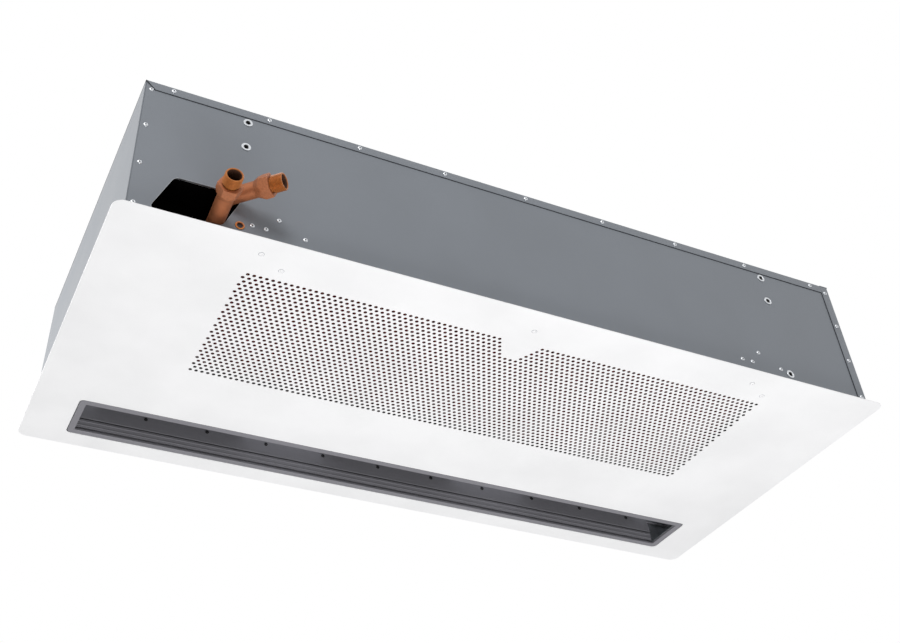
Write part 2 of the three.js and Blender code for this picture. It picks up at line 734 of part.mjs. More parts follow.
function knuckle(x0, x1) {
  return rod([x0, HINGE_Y, HINGE_Z], [x1, HINGE_Y, HINGE_Z], BARREL_RADIUS, 12);
}

function pinHole(x) {
  const reach = BARREL_LENGTH;
  return rod(
    [x - reach, HINGE_Y, HINGE_Z], [x + reach, HINGE_Y, HINGE_Z], PIN_RADIUS + RUNNING / 3, 12,
  );
}

// Riveted inside the pipe wall, with two straps that pass under the wall to the barrel.
function hingeWallLeaf(x) {
  const back = SHEET + FIT;
  const plate = box(
    x + WALL_LEAF_ENDS[0], x + WALL_LEAF_ENDS[1], back, back + LEAF,
    CASING_FOOT + SHEET, WALL_LEAF_TOP,
  );
  const straps = wallKnuckles.map(([a, b]) =>
    join(
      box(x + a, x + b, back, back + LEAF, STRAP_LOW, CASING_FOOT + SHEET + 1),
      box(x + a, x + b, HINGE_Y, back + LEAF, STRAP_LOW, STRAP_LOW + LEAF),
      knuckle(x + a, x + b),
    ),
  );
  return cut(join(plate, straps), pinHole(x));
}

// Riveted to the panel's upper face, with one tongue that runs out to the barrel.
function hingePanelLeaf(x) {
  const [a, b] = panelKnuckle;
  const low = PANEL_LEAF_LOW;
  const start = SHEET + FIT + LEAF + 2;
  return cut(
    join(
      box(x - BARREL_LENGTH / 2, x + BARREL_LENGTH / 2, start, PANEL_LEAF_DEPTH, low, low + SHEET),
      box(x + a, x + b, HINGE_Y, start + 1, low, low + SHEET),
      knuckle(x + a, x + b),
    ),
    pinHole(x),
  );
}

function hingePin(x) {
  const half = BARREL_LENGTH / 2;
  return join(
    rod([x - half - 1, HINGE_Y, HINGE_Z], [x + half + 1, HINGE_Y, HINGE_Z], PIN_RADIUS, 12),
    rod([x - half - 2, HINGE_Y, HINGE_Z], [x - half - 0.4, HINGE_Y, HINGE_Z], PIN_RADIUS * 1.7, 12),
  );
}

// A spring catch on the slot-side wall whose jaws close on a tab of the panel.
function panelCatch(x) {
  const [length, depth, height] = CATCH_SIZE;
  const far = CASING_DEPTH - SHEET - FIT;
  const low = CASING_FOOT + SHEET + 1;
  const tabFar = CASING_DEPTH - TAB_FROM_WALL;
  return cut(
    box(x - length / 2 + 1, x + length / 2 - 1, far - depth, far, low, low + height),
    box(
      x - length, x + length,
      tabFar - PANEL_SHEET - TAB_PLAY, tabFar + TAB_PLAY,
      low - 1, TAB_HEIGHT + TAB_PLAY,
    ),
  );
}

function addFacePanel() {
  add("face_panel", facePanel(), "panel");
  add("panel_gasket", panelGasket(), "foam");
  hingePlaces.forEach((x, i) => {
    const side = i ? "right" : "left";
    add(`hinge_wall_leaf_${side}`, hingeWallLeaf(x), "zinc");
    add(`hinge_panel_leaf_${side}`, hingePanelLeaf(x), "zinc");
    add(`hinge_pin_${side}`, hingePin(x), "zinc");
  });
  catchPlaces.forEach((x, i) =>
    add(`panel_catch_${i ? "right" : "left"}`, panelCatch(x), "zinc"),
  );
}

// ---------------------------------------------------------------- outlet
// The visible frame of the slot: a flat flange with a lip turned up round its mouth.
function outletFrame() {
  const outer = roundedRectangle(
    -FRAME_HALF, FRAME_HALF, FRAME_NEAR, FRAME_FAR, SLOT_CORNER - FRAME_CLEARANCE,
  );
  const lipOuter = roundedRectangle(
    -MOUTH_HALF - FRAME_WALL, MOUTH_HALF + FRAME_WALL,
    MOUTH_NEAR - FRAME_WALL, MOUTH_FAR + FRAME_WALL, 2,
  );
  const mouth = roundedRectangle(-MOUTH_HALF, MOUTH_HALF, MOUTH_NEAR, MOUTH_FAR, 1);
  return cut(
    join(upright(outer, 0, FRAME_THICKNESS, 4), upright(lipOuter, 0, FRAME_LIP, 2)),
    upright(mouth, -1, FRAME_LIP + 1, 2),
  );
}

// The sheet duct between the fans' outlets and the frame.
function outletDuct() {
  const shell = box(-DUCT_HALF, DUCT_HALF, FRAME_NEAR, FRAME_FAR, DUCT_FOOT, DUCT_TOP);
  const inside = box(
    -DUCT_HALF + SHEET, DUCT_HALF - SHEET, FRAME_NEAR + SHEET, FRAME_FAR - SHEET,
    DUCT_FOOT + SHEET, DUCT_TOP - SHEET,
  );
  const mouth = box(
    -MOUTH_HALF, MOUTH_HALF, FRAME_NEAR + SHEET, FRAME_FAR - SHEET,
    DUCT_FOOT - 1, DUCT_FOOT + SHEET + 1,
  );
  const fanMouths = fanPlaces().map((x) =>
    box(
      x - FAN_WIDTH / 2 + SHEET, x + FAN_WIDTH / 2 - SHEET,
      OUTLET_NEAR + SHEET, FRAME_FAR - SHEET, DUCT_TOP - SHEET - 1, DUCT_TOP + 1,
    ),
  );
  const pivotHoles = vanePivot(VANE_PIVOT_RADIUS + FIT, DUCT_HALF + 1);
  return cut(shell, inside, mouth, fanMouths, pivotHoles);
}

// One long extruded profile beside the mouth, with ribs along its face. The wall is the
// duct's inner face and the sign points from it into the slot.
function guideProfile(wall, forward) {
  const at = (out, z) => [wall + forward * out, z];
  const back = FIT;
  const recess = PROFILE_DEPTH - 4;
  const low = DUCT_FOOT + FIT;
  const points = [at(back, low), at(recess, low), at(recess, 9.6), at(PROFILE_DEPTH, 9.6)];
  RIB_HEIGHTS.forEach((z) =>
    points.push(
      at(PROFILE_DEPTH, z - RIB),
      at(PROFILE_DEPTH + RIB, z),
      at(PROFILE_DEPTH, z + RIB),
    ),
  );
  points.push(
    at(PROFILE_DEPTH, GROOVE_LOW),
    at(back + SHEET, GROOVE_LOW),
    at(back + SHEET, DUCT_TOP - SHEET - FIT),
    at(back, DUCT_TOP - SHEET - FIT),
  );
  const half = MOUTH_HALF - FIT;
  return alongX(toShape(points), -half, half);
}

// The adjustable air guide: a plate that turns on a rod along its upper edge, with the heads
// of its clamping screws in a row below the rod. The rod turns in the duct's end walls.
function vanePivot(radius, reach) {
  return rod([-reach, VANE_Y, VANE_TOP], [reach, VANE_Y, VANE_TOP], radius, 12);
}

function guideVane() {
  const half = MOUTH_HALF - 1;
  const lowY = VANE_Y - VANE_LEAN;
  const plate = alongX(
    toShape([
      [VANE_Y - VANE_SHEET / 2, VANE_TOP],
      [lowY - VANE_SHEET / 2, VANE_LOW + 2],
      [lowY - VANE_SHEET / 2 + 0.4, VANE_LOW],
      [lowY + VANE_SHEET / 2 + 0.8, VANE_LOW],
      [lowY + VANE_SHEET / 2 + 0.8, VANE_LOW + 2],
      [VANE_Y + VANE_SHEET / 2, VANE_TOP],
    ]),
    -half, half,
  );
  const pivot = vanePivot(VANE_PIVOT_RADIUS, DUCT_HALF + 1);
  const screwHeight = VANE_TOP - 3.5;
  const room = 2 * half - VANE_SCREW_START - VANE_SCREW_END;
  const count = 1 + Math.floor(room / VANE_SCREW_PITCH);
  const screws = Array.from({ length: count }, (_, i) => {
    const x = -half + VANE_SCREW_START + i * VANE_SCREW_PITCH;
    return rod([x, VANE_Y - 3.6, screwHeight], [x, VANE_Y, screwHeight], 3.4, 8);
  });
  return join(plate, pivot, screws);
}

function addOutlet() {
  add("outlet_frame", outletFrame(), "aluminium");
  add("outlet_duct", outletDuct(), "casing");
  add("guide_profile_near", guideProfile(FRAME_NEAR + SHEET, 1), "aluminium");
  add("guide_profile_far", guideProfile(FRAME_FAR - SHEET, -1), "aluminium");
  add("guide_vane", guideVane(), "aluminium");
}

// ---------------------------------------------------------------- coil and water pipes
const coilTubePlaces = Array.from(
  { length: COIL_TUBES },
  (_, i) => COIL_FIRST_TUBE + i * COIL_TUBE_PITCH,
);

function finPack() {
  return box(-FINS_HALF, FINS_HALF, FINS_NEAR, FINS_FAR, FINS_LOW, FINS_HIGH);
}

// An end plate of the coil. The return bends between its tubes are brazed to it.
function coilEnd(side, bendPairs) {
  const inner = side * (FINS_HALF + FIT);
  const outer = side * (FINS_HALF + FIT + SHEET);
  const plate = box(
    Math.min(inner, outer), Math.max(inner, outer), FINS_NEAR, FINS_FAR,
    FINS_LOW, COIL_SHELF - FIT,
  );
  const bends = bendPairs.map(([[y0, z0], [y1, z1]]) => {
    const start = outer - side * SHEET * 0.5;
    const straight = outer + side * (COIL_STUB - COIL_TUBE_PITCH / 2);
    const half = new THREE.Vector3(0, (y1 - y0) / 2, (z1 - z0) / 2);
    const middle = new THREE.Vector3(straight, (y0 + y1) / 2, (z0 + z1) / 2);
    const out = new THREE.Vector3(side * half.length(), 0, 0);
    const points = [new THREE.Vector3(start, y0, z0)];
    const steps = 4;
    for (let i = 0; i <= steps; i++) {
      const angle = (Math.PI * i) / steps;
      points.push(
        middle.clone()
          .addScaledVector(half, -Math.cos(angle))
          .addScaledVector(out, Math.sin(angle)),
      );
    }
    points.push(new THREE.Vector3(start, y1, z1));
    return bend(points, COIL_TUBE_RADIUS);
  });
  return join(plate, bends);
}

// A solid round bar that follows a row of points.
function bend(points, radius) {
  const round = new THREE.Shape().absarc(0, 0, radius, 0, 2 * Math.PI);
  const smooth = new THREE.CatmullRomCurve3(points, false, "centripetal");
  return solid(
    new THREE.ExtrudeGeometry(round, {
      extrudePath: smooth,
      steps: points.length,
      bevelEnabled: false,
      curveSegments: 4,
    }),
  );
}

function rightBends() {
  return coilTubePlaces
    .filter((_, i) => i % 2 === 0)
    .flatMap((y) => [
      [[y, COIL_LOWER_ROW], [y + COIL_TUBE_PITCH, COIL_LOWER_ROW]],
      [[y, COIL_UPPER_ROW], [y + COIL_TUBE_PITCH, COIL_UPPER_ROW]],
    ]);
}

// A header along the coil's end: a pipe closed at its far end, with a stub to each tube.
function header(x, z, start) {
  const end = COIL_LAST_TUBE + HEADER_PAST_TUBE;
  const stubEnd = -FINS_HALF - 2 * FIT - SHEET;
  const stubs = coilTubePlaces.map((y) => rod([x, y, z], [stubEnd, y, z], COIL_TUBE_RADIUS, 8));
  return cut(
    join(rod([x, start, z], [x, end, z], PIPE_RADIUS, 16), stubs),
    rod([x, start - 1, z], [x, end - PIPE_WALL, z], PIPE_RADIUS - PIPE_WALL, 16),
  );
}

const LOWER_HEADER_X = -HALF + LOWER_HEADER_IN;
const UPPER_HEADER_X = -HALF + UPPER_HEADER_IN;
const lowerDirection = new THREE.Vector3(
  -Math.sin(toRadians(LOWER_PIPE_TURN)),
  -Math.cos(toRadians(LOWER_PIPE_TURN)),
  Math.sin(toRadians(LOWER_PIPE_RISE)),
).normalize();
const upperDirection = new THREE.Vector3(
  Math.sin(toRadians(UPPER_PIPE_TURN)),
  -Math.cos(toRadians(UPPER_PIPE_TURN)),
  0,
);
const lowerStart = new THREE.Vector3(
  LOWER_HEADER_X,
  LOWER_HEADER_START - FIT - PIPE_RADIUS * Math.sin(toRadians(LOWER_PIPE_TURN)),
  COIL_LOWER_ROW - 1,
);
const lowerEnd = lowerStart
  .clone()
  .addScaledVector(lowerDirection, (lowerStart.y + LOWER_PIPE_REACH) / -lowerDirection.y);
const upperEnd = new THREE.Vector3(
  -HALF + UPPER_PIPE_IN + UPPER_PIPE_REACH * Math.tan(toRadians(UPPER_PIPE_TURN)),
  -UPPER_PIPE_REACH,
  COIL_UPPER_ROW,
);
const upperCornerY =
  (-HALF + UPPER_PIPE_IN - UPPER_HEADER_X) / Math.tan(toRadians(UPPER_PIPE_TURN));
const upperTangent = UPPER_PIPE_BEND * Math.tan(toRadians(UPPER_PIPE_TURN / 2));
const UPPER_HEADER_START = upperCornerY + upperTangent + UPPER_PIPE_STRAIGHT;

const FITTING_LENGTH = THREAD_LENGTH + HEX_LENGTH;

function lowerPipe() {
  const end = lowerEnd.clone().addScaledVector(lowerDirection, -FITTING_LENGTH - FIT);
  return pipe(
    new THREE.LineCurve3(lowerStart, end), PIPE_RADIUS, PIPE_RADIUS - PIPE_WALL, 8, 2,
  );
}

function upperPipe() {
  const corner = new THREE.Vector3(UPPER_HEADER_X, upperCornerY, COIL_UPPER_ROW);
  const start = new THREE.Vector3(UPPER_HEADER_X, UPPER_HEADER_START - FIT, COIL_UPPER_ROW);
  const end = upperEnd.clone().addScaledVector(upperDirection, -FITTING_LENGTH - FIT);
  const bendStart = corner.clone().add(new THREE.Vector3(0, upperTangent, 0));
  const bendEnd = corner.clone().addScaledVector(upperDirection, upperTangent);
  const path = new THREE.CurvePath();
  path.add(new THREE.LineCurve3(start, bendStart));
  path.add(new THREE.QuadraticBezierCurve3(bendStart, corner, bendEnd));
  path.add(new THREE.LineCurve3(bendEnd, end));
  return pipe(path, PIPE_RADIUS, PIPE_RADIUS - PIPE_WALL, 8, 14);
}

// A six-sided bar that starts at a point, with two of its flats level.
function hexagon(from, direction, length) {
  const geometry = new THREE.CylinderGeometry(HEX_RADIUS, HEX_RADIUS, length, 6);
  const corner = new THREE.Vector3(0, 0, 1).cross(direction).normalize();
  const flat = direction.clone().cross(corner);
  geometry.applyMatrix4(new THREE.Matrix4().makeBasis(flat, direction, corner));
  const middle = from.clone().addScaledVector(direction, length / 2);
  return solid(geometry.translate(...middle.toArray()));
}

// A fitting with a hexagon, a slanted shoulder behind it and a male pipe thread. The thread is
// drawn as separate ridges.
function fitting(end, direction) {
  const bore = THREAD_BORE;
  const ridge = THREAD_LENGTH / THREAD_RIDGES;
  const profile = [[bore, -THREAD_LENGTH - 1]];
  profile.push([THREAD_RADIUS - THREAD_DEPTH, -THREAD_LENGTH - 1]);
  for (let i = THREAD_RIDGES - 1; i >= 0; i--) {
    profile.push([THREAD_RADIUS - THREAD_DEPTH, -(i + 0.8) * ridge]);
    profile.push([THREAD_RADIUS, -(i + 0.4) * ridge]);
  }
  profile.push([THREAD_RADIUS - THREAD_DEPTH, 0], [bore, 0], [bore, -THREAD_LENGTH - 1]);
  const outside = HEX_RADIUS + 1;
  const rise = (outside - PIPE_RADIUS) / Math.tan(toRadians(HEX_SHOULDER_TURN));
  const shoulder = [
    [PIPE_RADIUS, -FITTING_LENGTH - 1],
    [outside, -FITTING_LENGTH - 1],
    [outside, -FITTING_LENGTH + rise],
    [PIPE_RADIUS, -FITTING_LENGTH],
    [PIPE_RADIUS, -FITTING_LENGTH - 1],
  ];
  const from = end.toArray();
  const hexFar = end.clone().addScaledVector(direction, -FITTING_LENGTH);
  const past = end.clone().addScaledVector(direction, -FITTING_LENGTH - 1).toArray();
  return join(
    turned(profile, from, direction.toArray(), 16),
    cut(
      hexagon(hexFar, direction, HEX_LENGTH),
      rod(past, from, THREAD_BORE, 16),
      turned(shoulder, from, direction.toArray(), 16),
    ),
  );
}

// The small drain pipe whose mouth shows in the pipe wall.
function drainNipple() {
  const x = -HALF + NIPPLE_IN;
  const z = NIPPLE_HEIGHT;
  const turnY = LOWER_HEADER_START + NIPPLE_RADIUS + 4;
  const headerFace = LOWER_HEADER_X + PIPE_RADIUS + FIT;
  const path = new THREE.CurvePath();
  const before = new THREE.Vector3(x, turnY - NIPPLE_BEND, z);
  const after = new THREE.Vector3(x - NIPPLE_BEND, turnY, z);
  path.add(new THREE.LineCurve3(new THREE.Vector3(x, -1, z), before));
  path.add(new THREE.QuadraticBezierCurve3(before, new THREE.Vector3(x, turnY, z), after));
  path.add(new THREE.LineCurve3(after, new THREE.Vector3(headerFace, turnY, z)));
  return pipe(path, NIPPLE_RADIUS, NIPPLE_BORE, 6, 12);
}

// The shelf that the coil hangs from, with a window over the fins.
function coilShelf() {
  const edge = 3; // the shelf lies this far over the fins all round
  const far = FAN_SHELF_NEAR - FIT;
  const near = SHEET + FIT + SHEET + FIT;
  const end = WALL_END - FIT;
  const plate = box(-end, end, near, far, COIL_SHELF, COIL_SHELF + SHEET);
  return cut(
    plate,
    box(
      -FINS_HALF + edge, FINS_HALF - edge, FINS_NEAR + edge, FINS_FAR - edge,
      COIL_SHELF - 1, COIL_SHELF + SHEET + 1,
    ),
  );
}

function addCoil() {
  add("fin_pack", finPack(), "fins");
  add("coil_end_left", coilEnd(-1, []), "zinc");
  add("coil_end_right", coilEnd(1, rightBends()), "zinc");
  add("coil_shelf", coilShelf(), "zinc");
  add("lower_header", header(LOWER_HEADER_X, COIL_LOWER_ROW, LOWER_HEADER_START), "copper");
  add("upper_header", header(UPPER_HEADER_X, COIL_UPPER_ROW, UPPER_HEADER_START), "copper");
  add("lower_pipe", lowerPipe(), "copper");
  add("upper_pipe", upperPipe(), "copper");
  add("lower_fitting", fitting(lowerEnd, lowerDirection), "brass");
  add("upper_fitting", fitting(upperEnd, upperDirection), "brass");
  add("drain_nipple", drainNipple(), "copper");
}

// ---------------------------------------------------------------- fans
function fanPlaces() {
  return Array.from({ length: FANS }, (_, i) => (i - (FANS - 1) / 2) * FAN_PITCH);
}

// The outline of a scroll seen along x, drawn back by the sheet for its inside.
function scrollShape(inset, foot) {
  const points = [[FAN_Y + SCROLL_LARGE - inset, foot]];
  for (let i = 0; i <= SCROLL_STEPS; i++) {
    const degrees = (SCROLL_TURN * i) / SCROLL_STEPS;
    const radius = scrollRadius(degrees) - inset;
    const angle = toRadians(degrees);
    points.push([FAN_Y + radius * Math.cos(angle), FAN_Z + radius * Math.sin(angle)]);
  }
  const last = points[points.length - 1];
  if (inset > 0) {
    points.pop();
    points.push([OUTLET_NEAR + inset, last[1] + inset * 2]);
  }
  points.push([OUTLET_NEAR + inset, foot]);
  return toShape(points);
}

function fanHousing(x) {
  const foot = DUCT_TOP + FIT;
  const half = FAN_WIDTH / 2;
  const outside = alongX(scrollShape(0, foot), x - half, x + half);
  const inside = alongX(scrollShape(SHEET, foot - 1), x - half + SHEET, x + half - SHEET);
  const inlet = rod([x - half - 1, FAN_Y, FAN_Z], [x + half + 1, FAN_Y, FAN_Z], INLET_RADIUS, 24);
  return cut(outside, inside, inlet);
}

function ringX(x0, x1, outer, inner, sides = 24) {
  return cut(
    rod([x0, FAN_Y, FAN_Z], [x1, FAN_Y, FAN_Z], outer, sides),
    rod([x0 - 1, FAN_Y, FAN_Z], [x1 + 1, FAN_Y, FAN_Z], inner, sides),
  );
}

// A double-inlet wheel: a middle disc on a hub, blades on both sides and a ring at each end.
function fanWheel(x) {
  const half = WHEEL_WIDTH / 2;
  const blades = Array.from({ length: WHEEL_BLADES }, (_, i) => {
    const angle = (2 * Math.PI * i) / WHEEL_BLADES;
    const lean = angle + toRadians(BLADE_LEAN);
    const at = (radius, turnBy, side) => [
      FAN_Y + radius * Math.cos(turnBy) - side * Math.sin(lean),
      FAN_Z + radius * Math.sin(turnBy) + side * Math.cos(lean),
    ];
    const sweep = toRadians(8);
    const inner = WHEEL_INNER + 1;
    const outer = WHEEL_RADIUS - 1;
    return alongX(
      toShape([
        at(inner, angle, 0),
        at(outer, angle + sweep, 0),
        at(outer, angle + sweep, BLADE_SHEET),
        at(inner, angle, BLADE_SHEET),
      ]),
      x - half + WHEEL_DISC / 2, x + half - WHEEL_DISC / 2,
    );
  });
  const disc = rod(
    [x - WHEEL_DISC / 2, FAN_Y, FAN_Z], [x + WHEEL_DISC / 2, FAN_Y, FAN_Z], WHEEL_RADIUS, 20,
  );
  const hub = rod([x - WHEEL_DISC, FAN_Y, FAN_Z], [x + HUB_LENGTH, FAN_Y, FAN_Z], HUB_RADIUS, 16);
  const bore = rod(
    [x - half, FAN_Y, FAN_Z], [x + half, FAN_Y, FAN_Z], SHAFT_RADIUS + RUNNING / 2, 16,
  );
  return cut(
    join(
      disc,
      hub,
      ringX(x - half, x - half + WHEEL_DISC, WHEEL_RADIUS, WHEEL_INNER, 20),
      ringX(x + half - WHEEL_DISC, x + half, WHEEL_RADIUS, WHEEL_INNER, 20),
      blades,
    ),
    bore,
  );
}

const MOTOR_FRONT = -WHEEL_DISC - 5; // from the wheel's middle to the motor's front face

function fanMotor(x) {
  const front = x + MOTOR_FRONT;
  return join(
    rod([front - MOTOR_LENGTH, FAN_Y, FAN_Z], [front, FAN_Y, FAN_Z], MOTOR_RADIUS, 20),
    rod([front - 1, FAN_Y, FAN_Z], [x + HUB_LENGTH + 4, FAN_Y, FAN_Z], SHAFT_RADIUS, 16),
  );
}

// A spider that carries the motor from the rim of the housing's inlet.
function motorBracket(x) {
  const face = x - FAN_WIDTH / 2 - FIT;
  const back = x + MOTOR_FRONT - MOTOR_LENGTH - FIT;
  const ring = ringX(face - SHEET, face, BRACKET_RING, INLET_RADIUS + 3);
  const plate = rod([back - SHEET, FAN_Y, FAN_Z], [back, FAN_Y, FAN_Z], MOTOR_RADIUS - 4, 16);
  const arms = Array.from({ length: BRACKET_ARMS }, (_, i) => {
    const angle = (2 * Math.PI * i) / BRACKET_ARMS + Math.PI / 2;
    const [c, s] = [Math.cos(angle), Math.sin(angle)];
    const at = (radius, side) => [FAN_Y + radius * c - side * s, FAN_Z + radius * s + side * c];
    const outline = (r0, r1, width) =>
      toShape([at(r0, -width / 2), at(r1, -width / 2), at(r1, width / 2), at(r0, width / 2)]);
    const inner = MOTOR_RADIUS - 8 - STRUT;
    return join(
      alongX(outline(inner, BRACKET_RING - 4, ARM_WIDTH), face - SHEET, face),
      alongX(outline(inner, inner + STRUT, ARM_WIDTH), face - SHEET, back),
    );
  });
  return join(ring, plate, arms);
}

// The shelf under the fans, between the coil and the outlet duct.
function fanShelf() {
  const far = FRAME_NEAR - FIT;
  const near = FAN_SHELF_NEAR;
  const end = WALL_END - FIT;
  const low = FAN_SHELF - SHEET;
  return join(
    box(-end, end, near, far, low, FAN_SHELF),
    box(-end, end, near, near + SHEET, low, COIL_SHELF + SHEET),
    box(-end, end, far - SHEET, far, low - FOOT_FLANGE, FAN_SHELF),
  );
}

function addFans() {
  fanPlaces().forEach((x, i) => {
    add(`fan_housing_${i + 1}`, fanHousing(x), "zinc");
    add(`fan_wheel_${i + 1}`, fanWheel(x), "wheel");
    add(`fan_motor_${i + 1}`, fanMotor(x), "motor");
    add(`motor_bracket_${i + 1}`, motorBracket(x), "zinc");
  });
  add("fan_shelf", fanShelf(), "zinc");
}

// ---------------------------------------------------------------- electrics
const [BOX_LENGTH, BOX_DEPTH, BOX_HEIGHT] = BOX_SIZE;
const BOX_X1 = HALF - BOX_FROM_END;
const BOX_X0 = BOX_X1 - BOX_LENGTH;
const BOX_Y0 = BOX_FROM_WALL;
const BOX_Y1 = BOX_Y0 + BOX_DEPTH;
const BOX_Z1 = CASING_HEIGHT - SHEET - FIT;
const BOX_Z0 = BOX_Z1 - BOX_HEIGHT;

// The box hangs under the top cover and opens downwards.
function controlBox() {
  return cut(
    box(BOX_X0, BOX_X1, BOX_Y0, BOX_Y1, BOX_Z0, BOX_Z1),
    box(
      BOX_X0 + SHEET, BOX_X1 - SHEET, BOX_Y0 + SHEET, BOX_Y1 - SHEET, BOX_Z0 - 1, BOX_Z1 - SHEET,
    ),
  );
}

function controlLid() {
  const high = BOX_Z0 - FIT;
  return join(
    box(BOX_X0, BOX_X1, BOX_Y0, BOX_Y1, high - SHEET, high),
    box(
      BOX_X0 + LID_INSET, BOX_X1 - LID_INSET, BOX_Y0 + LID_INSET, BOX_Y1 - LID_INSET,
      high - SHEET - LID_RAISE, high,
    ),
  );
}

function controlBoard() {
  const [length, depth, thickness] = BOARD_SIZE;
  const x = (BOX_X0 + BOX_X1) / 2;
  const y = (BOX_Y0 + BOX_Y1) / 2;
  const high = BOX_Z1 - SHEET - FIT;
  const face = high - BOARD_STANDOFF;
  const posts = [-1, 1].flatMap((i) =>
    [-1, 1].map((j) =>
      rod(
        [x + (i * length) / 2.4, y + (j * depth) / 2.4, face - 0.5],
        [x + (i * length) / 2.4, y + (j * depth) / 2.4, high],
        3.5, 8,
      ),
    ),
  );
  const low = face - thickness;
  return join(
    box(x - length / 2, x + length / 2, y - depth / 2, y + depth / 2, low, face),
    box(
      x - length * 0.4, x + length * 0.4, y - depth * 0.42, y - depth * 0.25,
      low - TERMINAL_HEIGHT, face,
    ),
    box(
      x - length * 0.1, x + length * 0.35, y, y + depth * 0.35,
      low - TRANSFORMER_HEIGHT, face,
    ),
    posts,
  );
}

function cableGland(y) {
  const profile = [
    [GLAND_BORE, -SHEET - 8],
    [GLAND_NECK, -SHEET - 8],
    [GLAND_NECK, FIT],
    [GLAND_RADIUS, FIT],
    [GLAND_RADIUS, GLAND_LENGTH * 0.4],
    [GLAND_RADIUS * 0.8, GLAND_LENGTH],
    [GLAND_BORE, GLAND_LENGTH],
    [GLAND_BORE, -SHEET - 8],
  ];
  return turned(profile, [HALF, y, GLAND_HEIGHT], [1, 0, 0], 12);
}

function addElectrics() {
  add("control_box", controlBox(), "casing");
  add("control_box_lid", controlLid(), "zinc");
  add("control_board", controlBoard(), "board");
  GLAND_PLACES.forEach((y, i) => add(`cable_gland_${i + 1}`, cableGland(y), "plastic"));
}

addCasing();
addFacePanel();
addOutlet();
addCoil();
addFans();
addElectrics();

const airCurtain = new THREE.Group();
airCurtain.add(unit);

export default airCurtain;
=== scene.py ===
"""Looks of a recessed air curtain: casing, perforated face panel, outlet slot, coil and fans.

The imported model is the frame. Meshes are drawn in millimetres, x from the unit's middle, y from
the pipe wall's outer face towards the slot and z up from the panel's underside, and are moved
into the frame when a piece is finished.
"""
import functools
import math

import bmesh
import bpy
from bpy.props import FloatProperty, FloatVectorProperty, IntProperty
from mathutils import Matrix, Vector, geometry


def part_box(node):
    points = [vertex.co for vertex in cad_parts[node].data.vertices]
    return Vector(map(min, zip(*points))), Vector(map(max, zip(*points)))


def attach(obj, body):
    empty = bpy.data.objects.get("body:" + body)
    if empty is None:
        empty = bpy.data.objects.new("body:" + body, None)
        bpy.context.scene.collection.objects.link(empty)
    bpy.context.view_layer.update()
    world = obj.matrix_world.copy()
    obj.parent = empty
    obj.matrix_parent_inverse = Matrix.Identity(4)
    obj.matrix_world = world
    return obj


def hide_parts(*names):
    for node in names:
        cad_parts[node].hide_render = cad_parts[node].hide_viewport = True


bl_info = {
    "name": "Recessed air curtain",
    "version": (1, 0, 0),
    "blender": (4, 5, 0),
    "location": "3D View > Sidebar > Air curtain",
    "description": "Dresses the recessed air curtain's frame with its sheet, coil and pipe pieces",
    "category": "Object",
}

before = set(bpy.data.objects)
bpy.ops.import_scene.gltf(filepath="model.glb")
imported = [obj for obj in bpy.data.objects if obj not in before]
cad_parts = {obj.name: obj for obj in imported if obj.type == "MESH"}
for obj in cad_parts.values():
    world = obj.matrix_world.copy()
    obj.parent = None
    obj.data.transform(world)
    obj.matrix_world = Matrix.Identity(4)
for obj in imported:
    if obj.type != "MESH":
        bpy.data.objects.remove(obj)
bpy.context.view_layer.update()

# ---------------------------------------------------------------- sizes, in millimetres
MM = 0.001
SHEET = 1.5
FIT = 0.3
PANEL_HALF = 750
PANEL_NEAR = -22.5
PANEL_FAR = 685.5
PANEL_CORNER = 18
CASING_HALF = 730
CASING_DEPTH = 671
CASING_HEIGHT = 297
CASING_FOOT = 6
WALL_TOP = CASING_HEIGHT - SHEET - FIT
WALL_END = CASING_HALF - SHEET - FIT
LAYER = SHEET + FIT
COVER_FLANGE = 18
SIDE_FLANGE = 19.5
FOOT_FLANGE = 20
FOOT = (CASING_FOOT, CASING_FOOT + SHEET)
FLANGE_END = WALL_END - SIDE_FLANGE - SHEET
OPENING = ((-694, 20.5), (-577, 20.5), (-543, 97.5), (-660, 97.5))
OPENING_CUT = 11  # how far from its corners the opening's rounding starts
RIVET_HEIGHT = 1.7
COVER_RIVETS = [-681.5 + 170.375 * i for i in range(9)]
SIDE_RIVETS = [22.5, 107.8, 193.2, 278.5]
SIDE_RIVET_X = 718.5
HINGES = (-483, 483)
HINGE_AXIS = (-5.2, 6.2)
HINGE_RIVETS = [(-45.4, 39), (-22, 39), (45.2, 39), (-0.9, 65)]
PANEL_RIVETS = [(-22, 16), (21.5, 43.4)]
MIDDLE_RIVET_Y = 29.5
CATCHES = (-500, 500)
INSERT_X = 548.5
WALL_INSERTS = [(-1, 209), (1, 209), (-1, 267.5), (1, 267.5), (1, 33)]
CEILING_INSERT_Y = (60, 611)
NIPPLE = (-548.5, 32.5)
NIPPLE_RADIUS = 7
SLOT_HALF = 667.5
SLOT_NEAR = 526.5
SLOT_FAR = 644.5
MOUTH_HALF = 654
MOUTH_NEAR = 540
MOUTH_FAR = 631
VANE_AXIS = (637.3, 57)
VANE_SCREWS = [-522 + 124 * i for i in range(10)]
HOLE_PITCH = 10.75
ROW_PITCH = 9.967
HOLE_ROWS = 30
HOLES_IN_ROW = 96
FIRST_ROW_Y = 71.5
HOLE_SHIFTS = (47.25, 47.75)  # pitches from the first hole to the middle, even and odd rows
PUNCH_BREAKOUT = 0.55
BARE_PLACE = {0: (44, 50), 1: (45, 50), 2: (45, 49), 3: (46, 49), 4: (46, 48)}
FINS_X = 520
FINS_Y = (78, 378)
FINS_Z = (19, 97.5)
COIL_TUBES_Y = [102 + 36 * i for i in range(8)]
COIL_ROWS_Z = (38, 78.5)
TUBE_RADIUS = 6
PIPE_RADIUS = 14
PIPE_BORE = 12.5
LOWER_HEADER_X = -583.5
UPPER_HEADER_X = -575
UPPER_HEADER_START = 23.03
UPPER_PIPE_AT_WALL = -580.4
